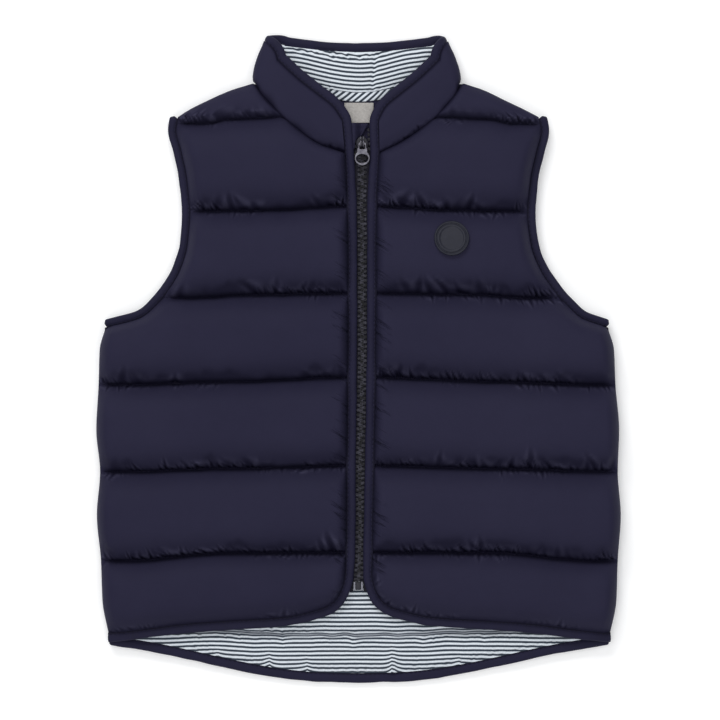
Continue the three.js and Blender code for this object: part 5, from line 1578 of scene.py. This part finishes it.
def bridge_rings(middle_x, width, sink=0):
    """Arch over the pull tab's bar, its feet sunk in the upper plate and one drawn out up the plate."""
    foot = PLATES["upper"] + 0.5 - PULL_AXIS_Z
    radius = (BRIDGE["outer"] + BRIDGE["inner"]) / 2 - sink / 2
    turns, bend = np.linspace(0, np.pi, 19), np.linspace(-0.5, -1, 6) * np.pi
    arch = radius * np.column_stack([np.cos(turns), np.sin(turns)])
    drawn_out = [radius + 1, foot + 1.85] + np.column_stack([np.cos(bend), np.sin(bend)])
    path = np.concatenate([[drawn_out[0] + [1.5, -0.2]], drawn_out, arch,
                           [[-radius - 0.12, foot + 0.8], [-radius - 0.5, foot]]])
    along = np.gradient(path, axis=0)
    out = unit(np.column_stack([along[:, 1], -along[:, 0]]))
    half_thick = (BRIDGE["outer"] - BRIDGE["inner"] - sink) / 2
    corners = np.linspace(0, 2 * np.pi, 16, endpoint=False)
    wide, deep = (size * np.sign(part) * np.abs(part) ** 0.5
                  for size, part in ((width / 2, np.cos(corners)), (half_thick, np.sin(corners))))
    rings = np.zeros((len(path), len(corners), 3))
    rings[..., 0] = middle_x + wide[None]
    rings[..., 1:] = path[:, None] + out[:, None] * deep[None, :, None]
    return rings + [SLIDER_X, SLIDER_Y, PULL_AXIS_Z]


def rounded_box(low, high, radius, steps=5):
    """A rounded rectangle's outline, anticlockwise."""
    outline = []
    centres = [(high[0] - radius, high[1] - radius), (low[0] + radius, high[1] - radius),
               (low[0] + radius, low[1] + radius), (high[0] - radius, low[1] + radius)]
    for quarter, (x, y) in enumerate(centres):
        for turn in np.linspace(quarter, quarter + 1, steps) * np.pi / 2:
            outline.append([x + radius * math.cos(turn), y + radius * math.sin(turn)])
    return np.array(outline)


STOP_BEVEL = 0.35
STOP_CORNER = 0.5
BOX_BODY = {"gap": 0.1, "low": 0.4, "top": 0.2, "sunk": 0.5}


def zip_stops():
    """The box and the pin at the zip's lower end: two rails coloured light as painted highlights on its
    edges, and the body between them coloured dark as painted shade.
    """
    top_y = ZIP_BOTTOM_Y - SEAM_GAP
    place = [float(zip_centre_x(top_y)), top_y, 0]
    low_z = float(mid_height(0, top_y)) + CHAIN["bottom"]
    half, length, rail = ZIP_BOX["width"] / 2, ZIP_BOX["length"], ZIP_BOX["rail"]
    inside = half - rail - BOX_BODY["gap"]
    corners = [((-half, -length), (rail - half, 0)), ((half - rail, -length), (half, 0)),
               ((-inside, BOX_BODY["low"] - length), (inside, -BOX_BODY["top"]))]
    tops = low_z + ZIP_BOX["height"] - np.array([0, 0, BOX_BODY["sunk"]])
    *rails, body = [layered_rings(rounded_box(*pair, STOP_CORNER), bevelled(low_z, top, STOP_BEVEL))
                    for pair, top in zip(corners, tops)]
    return (many_rings_mesh("zip_stops", [part + place for part in rails]),
            many_rings_mesh("zip_box_body", [body + place]))


TAB = {
    "thickness": 1.5, "bar": 0.8, "loop": 2.7, "shoulder_y": -2.5, "shoulder": 0.9, "neck": 3.5,
    "window": 1.75, "window_end": 3.7, "ring_y": -9.6, "ring_radius": 5.2, "hole_y": -10.1,
    "hole_radius_x": 4.1, "hole_radius_y": 3, "bevel": 0.36,
}
GRIPS = {"y": [-4.5, -5.25, -6], "width": 5.2, "length": 0.34, "rise": 0.3}


def tab_outlines():
    """The tab's outer edge, the window round the slider's bridge and the hole in its ring."""
    slope = math.acos(TAB["neck"] / TAB["ring_radius"])
    turns = np.linspace(-math.pi - slope, slope, 60)
    ring = TAB["ring_radius"] * np.column_stack([np.cos(turns), np.sin(turns)]) + [0, TAB["ring_y"]]
    loop, shoulder, low = TAB["loop"], TAB["shoulder_y"], TAB["shoulder_y"] - TAB["shoulder"]
    corners = rounded_box((-loop, shoulder - 1), (loop, TAB["bar"]), 0.7)[:10]
    neck = [[TAB["neck"], low], [loop, shoulder], *corners, [-loop, shoulder], [-TAB["neck"], low]]
    window = rounded_box((-TAB["window"], -TAB["window_end"]), (TAB["window"], -TAB["bar"]), 0.5)
    circle = np.linspace(0, 2 * np.pi, 48, endpoint=False)
    hole = np.column_stack([TAB["hole_radius_x"] * np.cos(circle), TAB["hole_radius_y"] * np.sin(circle)])
    return [np.concatenate([ring, neck]), window, hole + [0, TAB["hole_y"]]]


def pierced_plate(outlines, thickness, bevel):
    """A flat plate's mesh with rounded edges, out of an outer outline and its holes."""
    curve = bpy.data.curves.new("plate_outline", "CURVE")
    curve.dimensions = "2D"
    curve.fill_mode = "BOTH"
    curve.bevel_depth = bevel * MM
    curve.bevel_resolution = 3
    curve.offset = -bevel * MM
    curve.extrude = (thickness / 2 - bevel) * MM
    for outline in outlines:
        spline = curve.splines.new("POLY")
        spline.points.add(len(outline) - 1)
        spline.use_cyclic_u = True
        for point, (x, y) in zip(spline.points, outline):
            point.co = (x * MM, y * MM, 0, 1)
    holder = bpy.data.objects.new("plate_holder", curve)
    bpy.context.collection.objects.link(holder)
    mesh = bpy.data.meshes.new_from_object(holder)
    bpy.data.objects.remove(holder)
    bpy.data.curves.remove(curve)
    return mesh


def pull_tab():
    """A flat ring with a neck that turns on the slider's bridge; both holes go through."""
    mesh = pierced_plate(tab_outlines(), TAB["thickness"], TAB["bevel"])
    solid = bmesh.new()
    solid.from_mesh(mesh)
    bmesh.ops.remove_doubles(solid, verts=solid.verts, dist=LEAST_LENGTH)
    grip = Vector((GRIPS["width"], GRIPS["length"], TAB["thickness"] + GRIPS["rise"])) * MM
    for grip_y in GRIPS["y"]:
        shape = Matrix.LocRotScale(Vector((0, grip_y, 0)) * MM, None, grip)
        bmesh.ops.create_cube(solid, size=1, matrix=shape)
    bmesh.ops.translate(solid, verts=solid.verts, vec=Vector((SLIDER_X, SLIDER_Y, PULL_AXIS_Z)) * MM)
    return shaded_object("pull_tab_ring", mesh, solid)


# The slider's body is dark; the middle of its bridge is dark as painted shade, between rails of metal
finish_piece(many_rings_mesh("zip_slider_body", slider_parts()), DARK_PARTS_AND_SHADE, ["zip_slider"])
bridge_rails = [bridge_rings(side * BRIDGE["rail_x"], BRIDGE["rail"]) for side in (-1, 1)]
finish_piece(many_rings_mesh("zip_slider_bridge", bridge_rails), GUNMETAL)
# The box's rails take painted highlights and its body painted shade
box_rails, box_body = zip_stops()
finish_piece(box_rails, LIT_STOP_RAILS, ["zip_box"])
finish_piece(box_body, DARK_PARTS_AND_SHADE)
finish_piece(pull_tab(), GUNMETAL, ["pull_tab"], body="pull_tab")


# Badge

BADGE_RINGS = {  # height of the face above the cloth, by radius
    "radius": [0, 2.5, 5, 7.2, 7.7, 7.95, 8.25, 8.6, 9.2, 9.55, 9.8, 10.1, 10.4, 10.6, 10.9, 11.35, 11.65,
               11.8],
    "rise": [1.75, 1.75, 1.72, 1.7, 1.7, 1.85, 2.2, 2.32, 2.32, 2.2, 1.8, 1.7, 1.85, 2.35, 2.55, 2.55, 2.3,
             1.7],
}
BADGE_SEGMENTS = 96
BADGE_FIT = {"reach": 9, "follow": 0.8, "lift": 0.25, "sunk": 0.3}  # how it lies on the puff


def badge():
    """A disc that leans and bends with the cloth below it."""
    reach = BADGE_FIT["reach"]
    height = surface_height(fronts["left"][0])
    low, middle, high = height(np.array([BADGE["x"]] * 3), BADGE["y"] + np.array([-reach, 0, reach]))
    bend = (low + high - 2 * middle) / 2 / reach ** 2
    slope = (high - low) / (2 * reach)
    radii = np.array(BADGE_RINGS["radius"])[:, None]
    turns = np.linspace(0, 2 * np.pi, BADGE_SEGMENTS + 1)[None]
    up = radii * np.sin(turns)
    base = middle + slope * up + BADGE_FIT["follow"] * bend * up ** 2 + BADGE_FIT["lift"]
    thickness = np.array(BADGE_RINGS["rise"])[:, None] + BADGE_FIT["sunk"]
    x, y = BADGE["x"] + radii * np.cos(turns), BADGE["y"] + up
    return wall_mesh("badge_disc", *sheet_grids(x, y, base - BADGE_FIT["sunk"], thickness), is_round=True)


finish_piece(badge(), RUBBER, ["badge"])


# Stage
FLOOR_SIZE = 9
FLOOR_Z = -0.0002
bpy.ops.mesh.primitive_plane_add(size=FLOOR_SIZE, location=(0, 0, FLOOR_Z))
floor = bpy.context.object
floor.name = "floor"
floor.data.materials.append(floor_material())

LIGHTS = {  # place, size and power
    "key_light": ((-0.5, 1.6, 1.5), (1.2, 0.7), 22),
    "top_light": ((0, 0, 2.7), (2.4, 2.4), 33),
    "fill_light": ((-0.3, -1.6, 1.4), (1.8, 1), 9),
}
SKY = (0.95, 0.97, 1, 1)
SKY_STRENGTH = 0.35


def area_light(name, location, size, power):
    """A soft light that faces the vest."""
    light = bpy.data.lights.new(name, "AREA")
    light.shape = "RECTANGLE"
    light.size, light.size_y = size
    light.energy = power
    lamp = bpy.data.objects.new(name, light)
    lamp.location = location
    lamp.rotation_euler = (Vector() - Vector(location)).to_track_quat("-Z", "Y").to_euler()
    bpy.context.collection.objects.link(lamp)


for name, settings in LIGHTS.items():
    area_light(name, *settings)
world = bpy.data.worlds.new("studio")
world.use_nodes = True
background = world.node_tree.nodes["Background"]
background.inputs[0].default_value = SKY
background.inputs[1].default_value = SKY_STRENGTH
bpy.context.scene.world = world
bpy.context.scene.view_settings.view_transform = "Standard"
